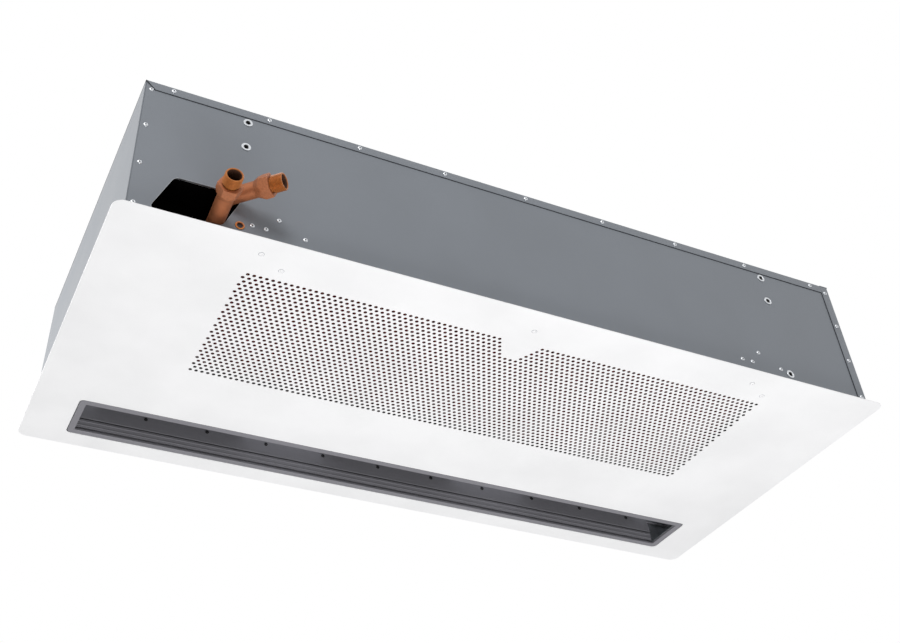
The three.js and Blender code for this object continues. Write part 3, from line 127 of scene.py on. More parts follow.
THREAD = (14.9, 11.2, 22)  # radius, bore and length
HEX_FLAT = 18  # from the axis to a flat
FITTING_LENGTH = 49
HEX_SHOULDER_TURN = 26
HEADER_END = 372
SHELF_Z = 99.5
FAN_X = (-470, 0, 470)
FAN_Y = 485.5
FAN_Z = 156.34
SCROLL = (158, 84, 305)  # outer radius at the outlet, at the tongue, and the turn between
DUCT_TOP = 70
FAN_HALF = 150
INLET_RADIUS = 60
WHEEL_RADIUS = 72
WHEEL_INNER = 61
WHEEL_HALF = 125
MOTOR = (-92, -8, 42)
GLANDS_Y = (62, 104)
GLAND_Z = 232

PANEL_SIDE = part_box("face_panel")[0].y
ORIGIN = Vector((0, PANEL_SIDE - PANEL_NEAR * MM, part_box("outlet_frame")[0].z))
INTO_FRAME = Matrix.Translation(ORIGIN) @ Matrix.Scale(MM, 4)


def linear(code):
    """A linear colour from an sRGB hex code."""
    parts = [int(code[i : i + 2], 16) / 255 for i in (1, 3, 5)]
    return tuple(c / 12.92 if c <= 0.04045 else ((c + 0.055) / 1.055) ** 2.4 for c in parts)


def shade(colour, by):
    """A linear colour made darker or lighter, with full opacity."""
    return tuple(min(1.0, c * by) for c in colour[:3]) + (1.0,)


# ---------------------------------------------------------------- outlines
def area(loop):
    """Signed area of a closed outline, positive where it runs anticlockwise."""
    return sum(a[0] * b[1] - b[0] * a[1] for a, b in zip(loop, loop[1:] + loop[:1])) / 2


def offset(loop, distance, closed=True):
    """The outline moved to the left of its direction of travel, with mitred corners."""
    moved = []
    count = len(loop)
    for i, (x, y) in enumerate(loop):
        sides = []
        for a, b in ((i - 1, i), (i, i + 1)):
            if not closed and (a < 0 or b >= count):
                continue
            ax, ay = loop[a % count]
            bx, by = loop[b % count]
            length = math.hypot(bx - ax, by - ay) or 1.0
            sides.append(((ay - by) / length, (bx - ax) / length))
        nx = sum(n[0] for n in sides) / len(sides)
        ny = sum(n[1] for n in sides) / len(sides)
        grow = distance / max(0.2, nx * nx + ny * ny)
        moved.append((x + nx * grow, y + ny * grow))
    return moved


def fillet(points, radius, steps=5):
    """A row of points with its inner corners rounded."""
    made = [points[0]]
    for before, here, after in zip(points, points[1:], points[2:]):
        u = (Vector(before) - Vector(here)).normalized()
        v = (Vector(after) - Vector(here)).normalized()
        half = u.angle(v) / 2
        if half > math.radians(89):
            made.append(here)
            continue
        centre = Vector(here) + (u + v).normalized() * radius / math.sin(half)
        start = Vector(here) + u * radius / math.tan(half) - centre
        end = Vector(here) + v * radius / math.tan(half) - centre
        for i in range(steps + 1):
            made.append(tuple(centre + start.slerp(end, i / steps)))
    return made + [points[-1]]


def folded(points, thickness=SHEET, radius=1.5):
    """The closed section of a folded sheet whose middle follows the points."""
    line = fillet(points, radius)
    return offset(line, thickness / 2, False) + offset(line, -thickness / 2, False)[::-1]


def rounded(x0, x1, y0, y1, radius, steps=6):
    """A rectangle's outline with rounded corners."""
    corners = [(x1, y1, 0), (x0, y1, 90), (x0, y0, 180), (x1, y0, 270)]
    loop = []
    for x, y, start in corners:
        cx = x - radius if x == x1 else x + radius
        cy = y - radius if y == y1 else y + radius
        for i in range(steps + 1):
            turn = math.radians(start + 90 * i / steps)
            loop.append((cx + radius * math.cos(turn), cy + radius * math.sin(turn)))
    return loop


def circle(x, y, radius, steps=24):
    turns = [math.tau * i / steps for i in range(steps)]
    return [(x + radius * math.cos(a), y + radius * math.sin(a)) for a in turns]


# ---------------------------------------------------------------- solids
# Where an outline's two numbers and its height go, for each axis that it runs along.
PLACES = {
    "x": lambda a, b, c: (c, a, b),
    "y": lambda a, b, c: (a, c, b),
    "z": lambda a, b, c: (a, b, c),
}


def stitch(bm, rings, closed=True):
    """Faces between rings of as many points; a ring of one point closes the end."""
    for near, far in zip(rings, rings[1:]):
        count = max(len(near), len(far))
        for i in range(count if closed else count - 1):
            j = (i + 1) % count
            if len(near) == 1:
                bm.faces.new((near[0], far[j], far[i]))
            elif len(far) == 1:
                bm.faces.new((near[i], near[j], far[0]))
            else:
                bm.faces.new((near[i], near[j], far[j], far[i]))


def close(bm, cap):
    """Faces across an outline with holes; each outline comes with its ring of vertices."""
    verts = [v for _, ring in cap for v in ring]
    flat = [[Vector((a, b, 0)) for a, b in outline] for outline, _ in cap]
    for triangle in geometry.tessellate_polygon(flat):
        if len(set(triangle)) == 3:
            bm.faces.new([verts[i] for i in triangle])


def prism(bm, loops, low, high, axis="z", chamfer=0.0):
    """An outline with holes, run along an axis, with its edges broken by a small chamfer."""
    place = PLACES[axis]
    turned = []
    for i, loop in enumerate(loops):
        wanted = 1 if i == 0 else -1
        turned.append(list(loop) if area(loop) * wanted > 0 else list(loop)[::-1])
    caps = [[], []]
    for loop in turned:
        inner = offset(loop, chamfer) if chamfer else loop
        levels = [(inner, low), (inner, high)]
        if chamfer:
            levels[1:1] = [(loop, low + chamfer), (loop, high - chamfer)]
        rings = [[bm.verts.new(place(a, b, c)) for a, b in outline] for outline, c in levels]
        stitch(bm, rings)
        caps[0].append((inner, rings[0]))
        caps[1].append((inner, rings[-1]))
    for cap in caps:
        close(bm, cap)


def block(bm, x0, x1, y0, y1, z0, z1, chamfer=0.3):
    """A box between two limits on each axis."""
    prism(bm, [[(x0, y0), (x1, y0), (x1, y1), (x0, y1)]], z0, z1, "z", chamfer)


def lathe(bm, profile, origin, direction, steps=32, closed=False):
    """A turned solid: the profile lists radius and height from the origin."""
    turn = Vector((0, 0, 1)).rotation_difference(Vector(direction).normalized())
    rings = []
    for radius, height in profile:
        spokes = circle(0, 0, radius, steps) if radius else [(0, 0)]
        points = [Vector(origin) + turn @ Vector((a, b, height)) for a, b in spokes]
        rings.append([bm.verts.new(point) for point in points])
    if closed:
        rings.append(rings[0])
    stitch(bm, rings)


def rod(bm, start, end, radius, steps=24, chamfer=0.3):
    """A straight round bar with broken edges."""
    along = Vector(end) - Vector(start)
    reach = along.length
    profile = [(0, 0), (radius - chamfer, 0), (radius, chamfer)]
    profile += [(radius, reach - chamfer), (radius - chamfer, reach), (0, reach)]
    lathe(bm, profile, start, along, steps)


def tube(bm, points, radius, steps=24, bore=None):
    """A round bar or pipe along a row of points."""
    points = [Vector(p) for p in points]
    side = None
    outer, inner = [], []
    for i, here in enumerate(points):
        ahead = points[min(i + 1, len(points) - 1)] - points[max(i - 1, 0)]
        ahead.normalize()
        if side is None:
            side = ahead.orthogonal().normalized()
        side = (side - ahead * side.dot(ahead)).normalized()
        other = ahead.cross(side)
        for rings, reach in ((outer, radius), (inner, bore)):
            if reach:
                spokes = circle(0, 0, 1, steps)
                places = [here + side * reach * c + other * reach * s for c, s in spokes]
                rings.append([bm.verts.new(place) for place in places])
    if inner:
        stitch(bm, outer + inner[::-1] + [outer[0]])
    else:
        stitch(bm, outer)
        bm.faces.new(outer[0])
        bm.faces.new(outer[-1])


def rivet(bm, place, direction, radius=4.3, height=RIVET_HEIGHT):
    """A blind rivet's domed head, with the broken stem's hollow in its middle."""
    profile = [(0, 0.1), (radius * 0.26, 0.1), (radius * 0.33, height * 0.92)]
    profile += [(radius * 0.5, height), (radius * 0.75, height * 0.78)]
    profile += [(radius * 0.94, height * 0.4), (radius, 0.1)]
    profile += [(radius, -SHEET / 2), (0, -SHEET / 2)]
    lathe(bm, profile, place, direction, 20)


def piece(name, bm, material, body="casing", stands_for=(), sharp=35):
    """Moves a drawn mesh into the frame and gives it its finish and its body."""
    bmesh.ops.recalc_face_normals(bm, faces=bm.faces)
    bm.transform(INTO_FRAME)
    mesh = bpy.data.meshes.new(name)
    bm.to_mesh(mesh)
    bm.free()
    for polygon in mesh.polygons:
        polygon.use_smooth = True
    mesh.set_sharp_from_angle(angle=math.radians(sharp))
    made = bpy.data.objects.new(name, mesh)
    made.data.materials.append(material)
    bpy.context.scene.collection.objects.link(made)
    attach(made, body)
    if stands_for:
        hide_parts(*stands_for)
    return made


def stand_in(node, process, bm, material, body="casing", sharp=35):
    """A piece drawn in place of one CAD node, named for the node and how it was made."""
    name = node.capitalize() + (process and "_" + process)
    return piece(name, bm, material, body, [node], sharp)


def coat_node(node, material):
    """Gives a CAD node that stays in view its finish."""
    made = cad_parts[node]
    made.data.materials.clear()
    made.data.materials.append(material)


# ---------------------------------------------------------------- finishes
def per_metre(size_mm):
    """How many patterns of a size in millimetres go into a metre of object coordinates."""
    return 1 / (size_mm * MM)


def add_node(tree, kind, settings=(), links=()):
    """Adds a node; settings fill its sockets or properties and links join its inputs."""
    node = tree.nodes.new("ShaderNode" + kind)
    for key, value in dict(settings).items():
        if key == "stops":
            ramp = node.color_ramp.elements
            ramp[0].position, ramp[0].color = value[0]
            ramp[-1].position, ramp[-1].color = value[-1]
            for position, colour in value[1:-1]:
                ramp.new(position).color = colour
        elif key in node.inputs:
            node.inputs[key].default_value = value
        else:
            setattr(node, key, value)
    for key, output in dict(links).items():
        tree.links.new(output, node.inputs[key])
    return node


def new_finish(name, settings):
    """An empty material with its shader and its object coordinates."""
    material = bpy.data.materials.new(name)
    material.use_nodes = True
    tree = material.node_tree
    tree.nodes.clear()
    shader = add_node(tree, "BsdfPrincipled", settings)
    add_node(tree, "OutputMaterial", links={"Surface": shader.outputs["BSDF"]})
    coordinates = add_node(tree, "TexCoord").outputs["Object"]
    return material, tree, shader, coordinates


def shades(colour, *stops):
    """A ramp's stops; each gives a place and how light the colour is there."""
    return {"stops": [(place, shade(colour, by)) for place, by in stops]}


def drive(tree, shader, pattern, tint=None, gloss=None, relief=None):
    """Lets a pattern vary the shader's colour, roughness and surface, where settings are given."""
    ways = (
        (tint, "ValToRGB", "Fac", "Color", "Base Color"),
        (gloss, "MapRange", "Value", "Result", "Roughness"),
        (relief, "Bump", "Height", "Normal", "Normal"),
    )
    for settings, kind, entry, outlet, socket in ways:
        if settings:
            node = add_node(tree, kind, settings, {entry: pattern})
            tree.links.new(node.outputs[outlet], shader.inputs[socket])


def grained(name, settings, noise, tint, gloss=None, relief=None, stretch=None):
    """A finish whose colour, gloss and surface all follow one grain."""
    material, tree, shader, coordinates = new_finish(name, settings)
    if stretch:
        mapping = add_node(tree, "Mapping", {"Scale": stretch}, {"Vector": coordinates})
        coordinates = mapping.outputs["Vector"]
    grain = add_node(tree, "TexNoise", noise, {"Vector": coordinates})
    drive(tree, shader, grain.outputs["Fac"], tint, gloss, relief)
    return material


def colours():
    return bpy.context.scene.air_curtain_colours


def sizes():
    return bpy.context.scene.air_curtain_sizes


def powder_coat(name, colour, roughness, peel_mm=2.2, peel=0.0004):
    """Polyester powder coat, sprayed dry and baked."""
    material, tree, shader, coordinates = new_finish(
        name, {"Roughness": roughness, "IOR": 1.5}
    )
    # The baked powder flows into an orange peel, which breaks up the gloss.
    cells = add_node(
        tree, "TexNoise",
        {"Scale": per_metre(peel_mm), "Detail": 2.0, "Roughness": 0.45},
        {"Vector": coordinates},
    )
    drive(tree, shader, cells.outputs["Fac"], relief={"Strength": 0.35, "Distance": peel})
    # The film is a little thicker in places: clouds of a hand's width, hardly seen.
    clouds = add_node(
        tree, "TexNoise", {"Scale": per_metre(160), "Detail": 3.0}, {"Vector": coordinates}
    )
    drive(
        tree, shader, clouds.outputs["Fac"], shades(colour, (0.35, 0.97), (0.65, 1.03)),
        {
            "From Min": 0.3, "From Max": 0.7,
            "To Min": roughness - 0.04, "To Max": roughness + 0.05,
        },
    )
    return material


@functools.cache
def casing_paint():
    # Grey polyester powder coat on steel sheet: even and satin, with a fine orange peel.
    return powder_coat("grey_powder_coat", colours().casing, 0.38)


@functools.cache
def panel_paint():
    # White polyester powder coat, baked smooth: a clean white with a soft sheen.
    return powder_coat("white_powder_coat", colours().panel, 0.42, 1.6, 0.0003)


def anodised(name, colour, metallic, roughness):
    """Extruded aluminium under a satin anodised film, with fine lines along the extrusion."""
    # Die lines are about 0.1 mm apart; drawn 1.2 mm apart, so that they show.
    return grained(
        name, {"Metallic": metallic, "Roughness": roughness},
        {"Scale": per_metre(1.2), "Detail": 3.0, "Roughness": 0.6},
        shades(colour, (0.3, 0.97), (0.7, 1.03)),
        {"To Min": roughness - 0.06, "To Max": roughness + 0.1},
        {"Strength": 0.12, "Distance": 0.0002},
        stretch=(0.02, 1.0, 1.0),
    )


@functools.cache
def anodised_aluminium():
    # Pressed frame, anodised natural: a satin mid grey.
    return anodised("natural_anodising", colours().profile, 0.2, 0.5)


@functools.cache
def shaded_anodising():
    # Guides and vane: a slightly darker, duller copy of the frame's anodising, painted shade for
    # the slot's shadowed inside.
    return anodised("shaded_anodising", shade(colours().profile, 0.98), 0.05, 0.66)


@functools.cache
def drawn_copper():
    # Drawn copper tube, heated when it was brazed: warm brown red with darker blushes.
    material, tree, shader, coordinates = new_finish(
        "drawn_copper", {"Metallic": 0.55, "Roughness": 0.48}
    )
    blush = add_node(
        tree, "TexNoise",
        {"Scale": per_metre(24), "Detail": 5.0, "Roughness": 0.6, "Distortion": 0.4},
        {"Vector": coordinates},
    )
    tint = shades(colours().copper, (0.3, 0.55), (0.5, 0.95), (0.75, 1.15))
    drive(tree, shader, blush.outputs["Fac"], tint)
    # Handling scratches of 0.2 mm, drawn at 0.8 mm so that they show.
    scratches = add_node(
        tree, "TexNoise", {"Scale": per_metre(0.8), "Detail": 4.0}, {"Vector": coordinates}
    )
    drive(
        tree, shader, scratches.outputs["Fac"], gloss={"To Min": 0.4, "To Max": 0.58},
        relief={"Strength": 0.15, "Distance": 0.0001},
    )
    return material


def cut_brass(name, colour, metallic, roughness):
    """Red brass with the tool's marks still on it."""
    return grained(
        name, {"Metallic": metallic, "Roughness": roughness},
        {"Scale": per_metre(3), "Detail": 5.0, "Roughness": 0.65},
        shades(colour, (0.3, 0.75), (0.7, 1.12)),
        relief={"Strength": 0.12, "Distance": 0.0001},
    )


@functools.cache
def red_brass():
    # Cast red brass, turned: a bright yellowish orange on the freshly cut thread.
    return cut_brass("turned_red_brass", colours().fitting, 0.45, 0.42)


@functools.cache
def highlight_brass():
    # The same alloy made 2.4 times lighter: painted highlight, so that the dimly lit mouth reads
    # bright.
    return cut_brass("highlight_red_brass", shade(colours().fitting, 2.4), 0.2, 0.35)


@functools.cache
def shaded_bore_brown():
    # The fittings' bores: a dull dark brown, painted shade inside the hollow.
    return cut_brass("bore_painted_shade", shade(colours().copper, 0.16), 0.0, 0.8)


@functools.cache
def heated_brass():
    # Cast red brass, milled and then heated by the soldering: browner and duller, near copper.
    return cut_brass("heated_red_brass", colours().copper, 0.35, 0.5)


@functools.cache
def galvanised_steel():
    # Hot-dipped galvanised sheet: cool grey crystals of spangle a few millimetres across.
    material, tree, shader, coordinates = new_finish(
        "galvanised_steel", {"Metallic": 0.85, "Roughness": 0.45}
    )
    spangle = add_node(
        tree, "TexVoronoi", {"Scale": per_metre(9), "Randomness": 1.0}, {"Vector": coordinates}
    )
    grey = add_node(tree, "RGBToBW", links={"Color": spangle.outputs["Color"]})
    drive(
        tree, shader, grey.outputs["Val"], shades(colours().zinc, (0.1, 0.72), (0.9, 0.95)),
        {"To Min": 0.34, "To Max": 0.58},
    )
    return material


@functools.cache
def zinc_plate():
    # Bright zinc-plated steel, turned or pressed: pale and smooth with a faint grain.
    return grained(
        "bright_zinc_plate", {"Metallic": 1.0, "Roughness": 0.28},
        {"Scale": per_metre(2.5), "Detail": 4.0},
        shades(colours().zinc, (0.3, 0.85), (0.7, 1.08)),
        {"To Min": 0.2, "To Max": 0.38},
    )


@functools.cache
def fin_foil():
    # Pressed aluminium foil: dull crimson, partly the coating's colour and partly painted
    # reflection of the copper tubes, with lighter copper bands at the tubes' collars as painted
    # reflection of the tubes.
    material, tree, shader, coordinates = new_finish(
        "fin_foil_with_painted_reflection", {"Metallic": 0.1, "Roughness": 0.6}
    )
    # One band of painted copper reflection every 18 mm along the fin, and pressed ripples every 4
    # mm that run down it.
    # A wave's scale is pi / 10 divided by its period.
    copper_reflection_bands, ripples = (
        add_node(
            tree, "TexWave",
            {
                "bands_direction": "Y", "Scale": per_metre(spacing) * math.pi / 10,
                "Distortion": distortion,
            },
            {"Vector": coordinates},
        )
        for spacing, distortion in ((18, 1.6), (4, 0.3))
    )
    # Copper-coloured bands, a third lighter than the copper: painted reflection of the tubes.
    tint = [(0.3, shade(colours().fins, 1.0)), (0.95, shade(colours().copper, 1.3))]
    drive(tree, shader, copper_reflection_bands.outputs["Fac"], {"stops": tint})
    drive(tree, shader, ripples.outputs["Fac"], relief={"Strength": 0.3, "Distance": 0.0003})
    return material


def moulded(name, code, roughness, grain_mm, depth, ior=1.5):
    """A moulded plastic or cast part with a fine even grain."""
    return grained(
        name, {"Roughness": roughness, "IOR": ior},
        {"Scale": per_metre(grain_mm), "Detail": 3.0, "Roughness": 0.6},
        shades(linear(code), (0.3, 0.9), (0.7, 1.1)),
        relief={"Strength": 0.4, "Distance": depth},
    )


@functools.cache
def wheel_plastic():
    # Glass-filled polyamide, moulded: dark grey and slightly dry where the fibres surface.
    return moulded("moulded_polyamide", "#3c3f44", 0.5, 1.2, 0.0002)


@functools.cache
def motor_enamel():
    # Stoved black enamel on cast aluminium: semi-gloss over the casting's skin.
    return moulded("black_stoved_enamel", "#26282b", 0.38, 2.0, 0.0004)


@functools.cache
def closed_cell_foam():
    # Black closed-cell foam, skived: no gloss, with small open pores on its face.
    return moulded("black_cell_foam", "#1b1b1d", 0.95, 1.0, 0.001)


@functools.cache
def shade_dark_rubber():
    # A dull even near-black with no grain to see: painted shade, for the dark strip at the cover's
    # edge, the bead under the flanges and the plug in the drain nipple.
    return moulded("painted_shade_rubber", "#2b2d31", 0.7, 0.6, 0.0001)


@functools.cache
def shade_black_foam():
    # Near-black sheets inside the casing: painted shade where its inside, seen through the pipe
    # opening, lies in shadow.
    return moulded("painted_shade_black", "#050505", 1.0, 2.0, 0.002, 1.1)


@functools.cache
def gland_plastic():
    # Light grey polyamide, moulded: an even satin.
    return moulded("light_grey_polyamide", "#c9ccce", 0.5, 0.8, 0.0001)


@functools.cache
def pale_edge_grey():
    # A matt grey a shade paler than the casing paint: painted highlight on the pipe opening's edge
    # and painted shadow round the face panel's rivets.
    return moulded("painted_highlight_and_shadow_grey", "#a3a8ad", 0.55, 0.8, 0.0001)


@functools.cache
def black_oxide_and_shade():
    # A dull near-black: black-oxide steel for the vane's screws, and painted shade in the inserts'
    # bores and the rivets' stem hollows.
    return moulded("black_oxide_and_painted_shade", "#131315", 0.6, 0.5, 0.0001)


@functools.cache
def circuit_board():
    # Glass-epoxy board under green solder mask: glossy, with pale copper tracks below.
    material, tree, shader, coordinates = new_finish(
        "green_solder_mask", {"Roughness": 0.3, "IOR": 1.55}
    )
    mask = {"Color1": "#2f6b46", "Color2": "#2a6340", "Mortar": "#5a9a70"}
    tracks = add_node(
        tree, "TexBrick",
        {"Scale": per_metre(18), **{key: linear(code) + (1,) for key, code in mask.items()}},
        {"Vector": coordinates},
    )
    tree.links.new(tracks.outputs["Color"], shader.inputs["Base Color"])
    return material


# ---------------------------------------------------------------- properties
def size_property(name, text, default):
    return FloatProperty(
        name=name, description=text, default=default * MM, unit="LENGTH", subtype="DISTANCE"
    )


def colour_property(name, text, code):
    return FloatVectorProperty(
        name=name, description=text, default=linear(code), size=3, subtype="COLOR",
        min=0.0, max=1.0,
    )


class AirCurtainSizes(bpy.types.PropertyGroup):
    hole: size_property("Hole", "Diameter of the holes in the face panel", 6.6)
    fin_gap: size_property("Fin gap", "Spacing of the coil's fins; real ones lie closer", 6)
    thread_pitch: size_property("Thread pitch", "Pitch of the pipe threads", 2.309)
    blades: IntProperty(
        name="Blades", description="Blades of each fan wheel", default=36, min=12, max=60
    )


class AirCurtainColours(bpy.types.PropertyGroup):
    casing: colour_property("Casing", "Powder coat of the casing", "#7b8087")
    panel: colour_property("Face panel", "Powder coat of the face panel", "#f3f3f4")
    profile: colour_property("Profiles", "Anodised frame and air guides", "#88878d")
    copper: colour_property("Copper", "Water pipes and coil tubes", "#b36f49")
    fitting: colour_property("Fittings", "Threaded pipe ends", "#b0692f")
    zinc: colour_property("Zinc", "Plated and galvanised steel", "#d5d8dc")
    # The fins' crimson is partly their coating and partly painted reflection of the copper tubes.
    fins: colour_property("Fins", "Coated foil of the coil", "#c84460")


# ---------------------------------------------------------------- casing
def opening_outline():
    """The pipe opening, a leaning four-sided hole with soft corners."""
    corners = [Vector(c) for c in OPENING]
    loop = []
    for i, corner in enumerate(corners):
        start = corner + (corners[i - 1] - corner).normalized() * OPENING_CUT
        end = corner + (corners[(i + 1) % 4] - corner).normalized() * OPENING_CUT
        for k in range(9):
            t = k / 8
            loop.append(tuple(start * (1 - t) ** 2 + corner * 2 * t * (1 - t) + end * t * t))
    return loop


def flange_runs(middles, gap):
    """Stretches of a wall's foot flange, cut away round each middle."""
    ends = [-FLANGE_END, *(x + side * gap for x in middles for side in (-1, 1)), FLANGE_END]
    return zip(ends[::2], ends[1::2])


class AIRCURTAIN_OT_casing(bpy.types.Operator):
    """Top cover, long walls, end panels and the rivets that hold them"""

    bl_idname = "aircurtain.casing"
    bl_label = "Casing"

    def cover(self):
        bm = bmesh.new()
        edge = LAYER - 2
        # The cover stops short at the left; the near-black strip of painted shade covers its edge.
        left = 0.7 - CASING_HALF
        outline = [
            (left, -edge), (CASING_HALF, -edge),
            (CASING_HALF, CASING_DEPTH + edge), (left, CASING_DEPTH + edge),
        ]
        holes = [circle(x, y, 4.3) for x in (-INSERT_X, INSERT_X) for y in CEILING_INSERT_Y]
        top = CASING_HEIGHT
        prism(bm, [outline, *holes], top - SHEET, top)
        flange_end = CASING_HALF - SIDE_FLANGE - FIT
        for side in (-1, 1):
            wall = 0 if side < 0 else CASING_DEPTH
            section = folded(
                [
                    (wall + side * (LAYER - SHEET / 2), top - COVER_FLANGE),
                    (wall + side * (LAYER - SHEET / 2), top - SHEET / 2),
                    (wall - side * 0.2, top - SHEET / 2),
                ],
                SHEET, 1.25,
            )
            first = len(bm.verts)
            prism(bm, [section], -CASING_HALF, flange_end, "x")
            bm.verts.ensure_lookup_table()
            # The flange's free end is cut back at 45 degrees.
            for vert in bm.verts[first:]:
                if vert.co.x < -CASING_HALF + 1:
                    vert.co.x += top - vert.co.z
            block(
                bm, flange_end, CASING_HALF, *sorted((wall + side * LAYER, wall - side * 0.2)),
                top - SHEET, top, 0,
            )
        stand_in("top_cover", "", bm, casing_paint())

    def pipe_wall(self):
        bm = bmesh.new()
        outline = rounded(-WALL_END, WALL_END, CASING_FOOT, WALL_TOP, 1)
        holes = [circle(side * INSERT_X, z, 5.6) for side, z in WALL_INSERTS]
        holes += [circle(*NIPPLE, NIPPLE_RADIUS + 1), opening_outline()]
        prism(bm, [outline, *holes], 0, SHEET, "y", 0.35)
        for start, end in flange_runs(HINGES, 58):
            block(bm, start, end, SHEET - 0.2, SHEET + FOOT_FLANGE, *FOOT)
        stand_in("pipe_wall", "", bm, casing_paint())

    def slot_wall(self):
        bm = bmesh.new()
        far = CASING_DEPTH
        outline = rounded(-WALL_END, WALL_END, CASING_FOOT, WALL_TOP, 1)
        prism(bm, [outline], far - SHEET, far, "y", 0.35)
        inner = far - SHEET - FOOT_FLANGE
        block(bm, -FLANGE_END, FLANGE_END, inner, inner + 7, *FOOT)
        for start, end in flange_runs(CATCHES, 18):
            block(bm, start, end, inner + 6.8, far - 1.3, *FOOT)
        stand_in("slot_wall", "", bm, casing_paint())

    def ends(self):
        bm = bmesh.new()
        outer, inner = -CASING_HALF, -CASING_HALF + SHEET
        half = [
            (outer, 0), (inner, 0), (inner, LAYER), (inner + SIDE_FLANGE, LAYER),
            (inner + SIDE_FLANGE, LAYER + SHEET), (inner, LAYER + SHEET),
        ]
        section = half + [(x, CASING_DEPTH - y) for x, y in half[::-1]]
        prism(bm, [section], CASING_FOOT, WALL_TOP - 2.2, "z", 0.3)
        block(bm, inner - 0.5, inner + 15, 34, CASING_DEPTH - 34, *FOOT)
        stand_in("left_side", "", bm, casing_paint())
        bm = bmesh.new()
        x, y = CASING_HALF - SHEET / 2, LAYER - SHEET / 2
        start = CASING_HALF - SIDE_FLANGE
        section = folded([(start, -y), (x, -y), (x, CASING_DEPTH + y), (start, CASING_DEPTH + y)])
        prism(bm, [section], CASING_FOOT, WALL_TOP, "z", 0.3)
        block(bm, x - 15.7, x + 0.5, 34, CASING_DEPTH - 34, *FOOT)
        stand_in("right_side", "", bm, casing_paint())

    def rivets(self):
        bm = bmesh.new()
        high = CASING_HEIGHT - COVER_FLANGE / 2
        heads = [(x + along, 0, z, -1) for x in HINGES for along, z in HINGE_RIVETS]
        for wall, side in ((0, -1), (CASING_DEPTH, 1)):
            heads += [(x, wall + side * LAYER, high, side) for x in COVER_RIVETS]
            for z in SIDE_RIVETS:
                heads.append((-SIDE_RIVET_X, wall, z, side))
                heads.append((SIDE_RIVET_X, wall + side * LAYER, z, side))
        for *place, side in heads:
            rivet(bm, place, (0, side, 0))
        piece("Casing_rivets", bm, zinc_plate())
        # The stems are drawn near-black: painted shade in each head's hollow.
        bm = bmesh.new()
        for x, y, z, side in heads:
            rod(bm, (x, y, z), (x, y + side * 0.9, z), 1.25, 12, 0.2)
        piece("Casing_rivet_stems", bm, black_oxide_and_shade())

    def seals(self):
        # A near-black strip lies on the left side's upper edge and covers the cover's edge there:
        # painted shade of that edge.
        bm = bmesh.new()
        block(
            bm, -CASING_HALF, LAYER - CASING_HALF, -1, CASING_DEPTH + 1, WALL_TOP - 2.4,
            CASING_HEIGHT - 0.1,
        )
        piece("Cover_edge_shade_strip", bm, shade_dark_rubber())
        # A dark bead along the cover's flange and the right side's flange: painted shadow under
        # the flanges' edges.
        low = CASING_HEIGHT - COVER_FLANGE
        line = [
            (0.8 - CASING_HALF, CASING_HEIGHT - 2), (COVER_FLANGE - 0.4 - CASING_HALF, low - 0.4),
            (CASING_HALF - SIDE_FLANGE - 0.7, low - 0.4), (CASING_HALF - SIDE_FLANGE - 0.7, 7),
        ]
        bm = bmesh.new()
        for wall in (-0.55, CASING_DEPTH + 0.55):
            prism(bm, [folded(line, 1.1, 1.2)], wall - 0.6, wall + 0.6, "y", 0.25)
        piece("Flange_shadow_bead", bm, shade_dark_rubber())
        # A pale grey lip on the sheet round the pipe opening: painted highlight of the sheet's cut
        # edge.
        bm = bmesh.new()
        outline = opening_outline()
        prism(bm, [offset(outline, -0.5), offset(outline, 0.4)], -0.4, 0.6, "y", 0.2)
        piece("Pipe_opening_edge_highlight", bm, pale_edge_grey())

    def execute(self, context):
        self.cover()
        self.pipe_wall()
        self.slot_wall()
        self.ends()
        self.rivets()
        self.seals()
        return {"FINISHED"}


class AIRCURTAIN_OT_inserts(bpy.types.Operator):
    """Threaded inserts in the walls and under the cover"""

    bl_idname = "aircurtain.inserts"
    bl_label = "Threaded inserts"

    def insert(self, threads, node, place, outward):
        """The flanged sleeve as its own piece; its bore's thread joins the others."""
        sleeve = [(5.3, -14), (5.3, FIT), (8.3, FIT), (8.5, 0.5), (8.5, 1.0), (8.1, 1.3)]
        sleeve += [(5.0, 1.3), (4.5, 0.9), (4.5, -14)]
        bm = bmesh.new()
        lathe(bm, sleeve, place, outward, 32, closed=True)
        stand_in(node, "turned", bm, zinc_plate())
        # M8 threads: a ridge every 1.25 mm down the bore, drawn near-black as painted shade.
        thread = [(4.6, -14), (4.6, 0.5)]
        for i in range(11):
            thread += [(4.3, 0.4 - 1.25 * i), (3.7, -0.2 - 1.25 * i)]
        lathe(threads, thread, place, outward, 32, closed=True)

    def execute(self, context):
        threads = bmesh.new()
        for i, (side, z) in enumerate(WALL_INSERTS, 1):
            self.insert(threads, f"wall_insert_{i}", (side * INSERT_X, 0, z), (0, -1, 0))
        under = CASING_HEIGHT - SHEET - 2 * FIT - 1
        places = [(x, y) for y in CEILING_INSERT_Y for x in (-INSERT_X, INSERT_X)]
        for i, (x, y) in enumerate(places, 1):
            self.insert(threads, f"ceiling_insert_{i}", (x, y, under), (0, 0, 1))
        piece("Insert_threads", threads, black_oxide_and_shade())
        return {"FINISHED"}


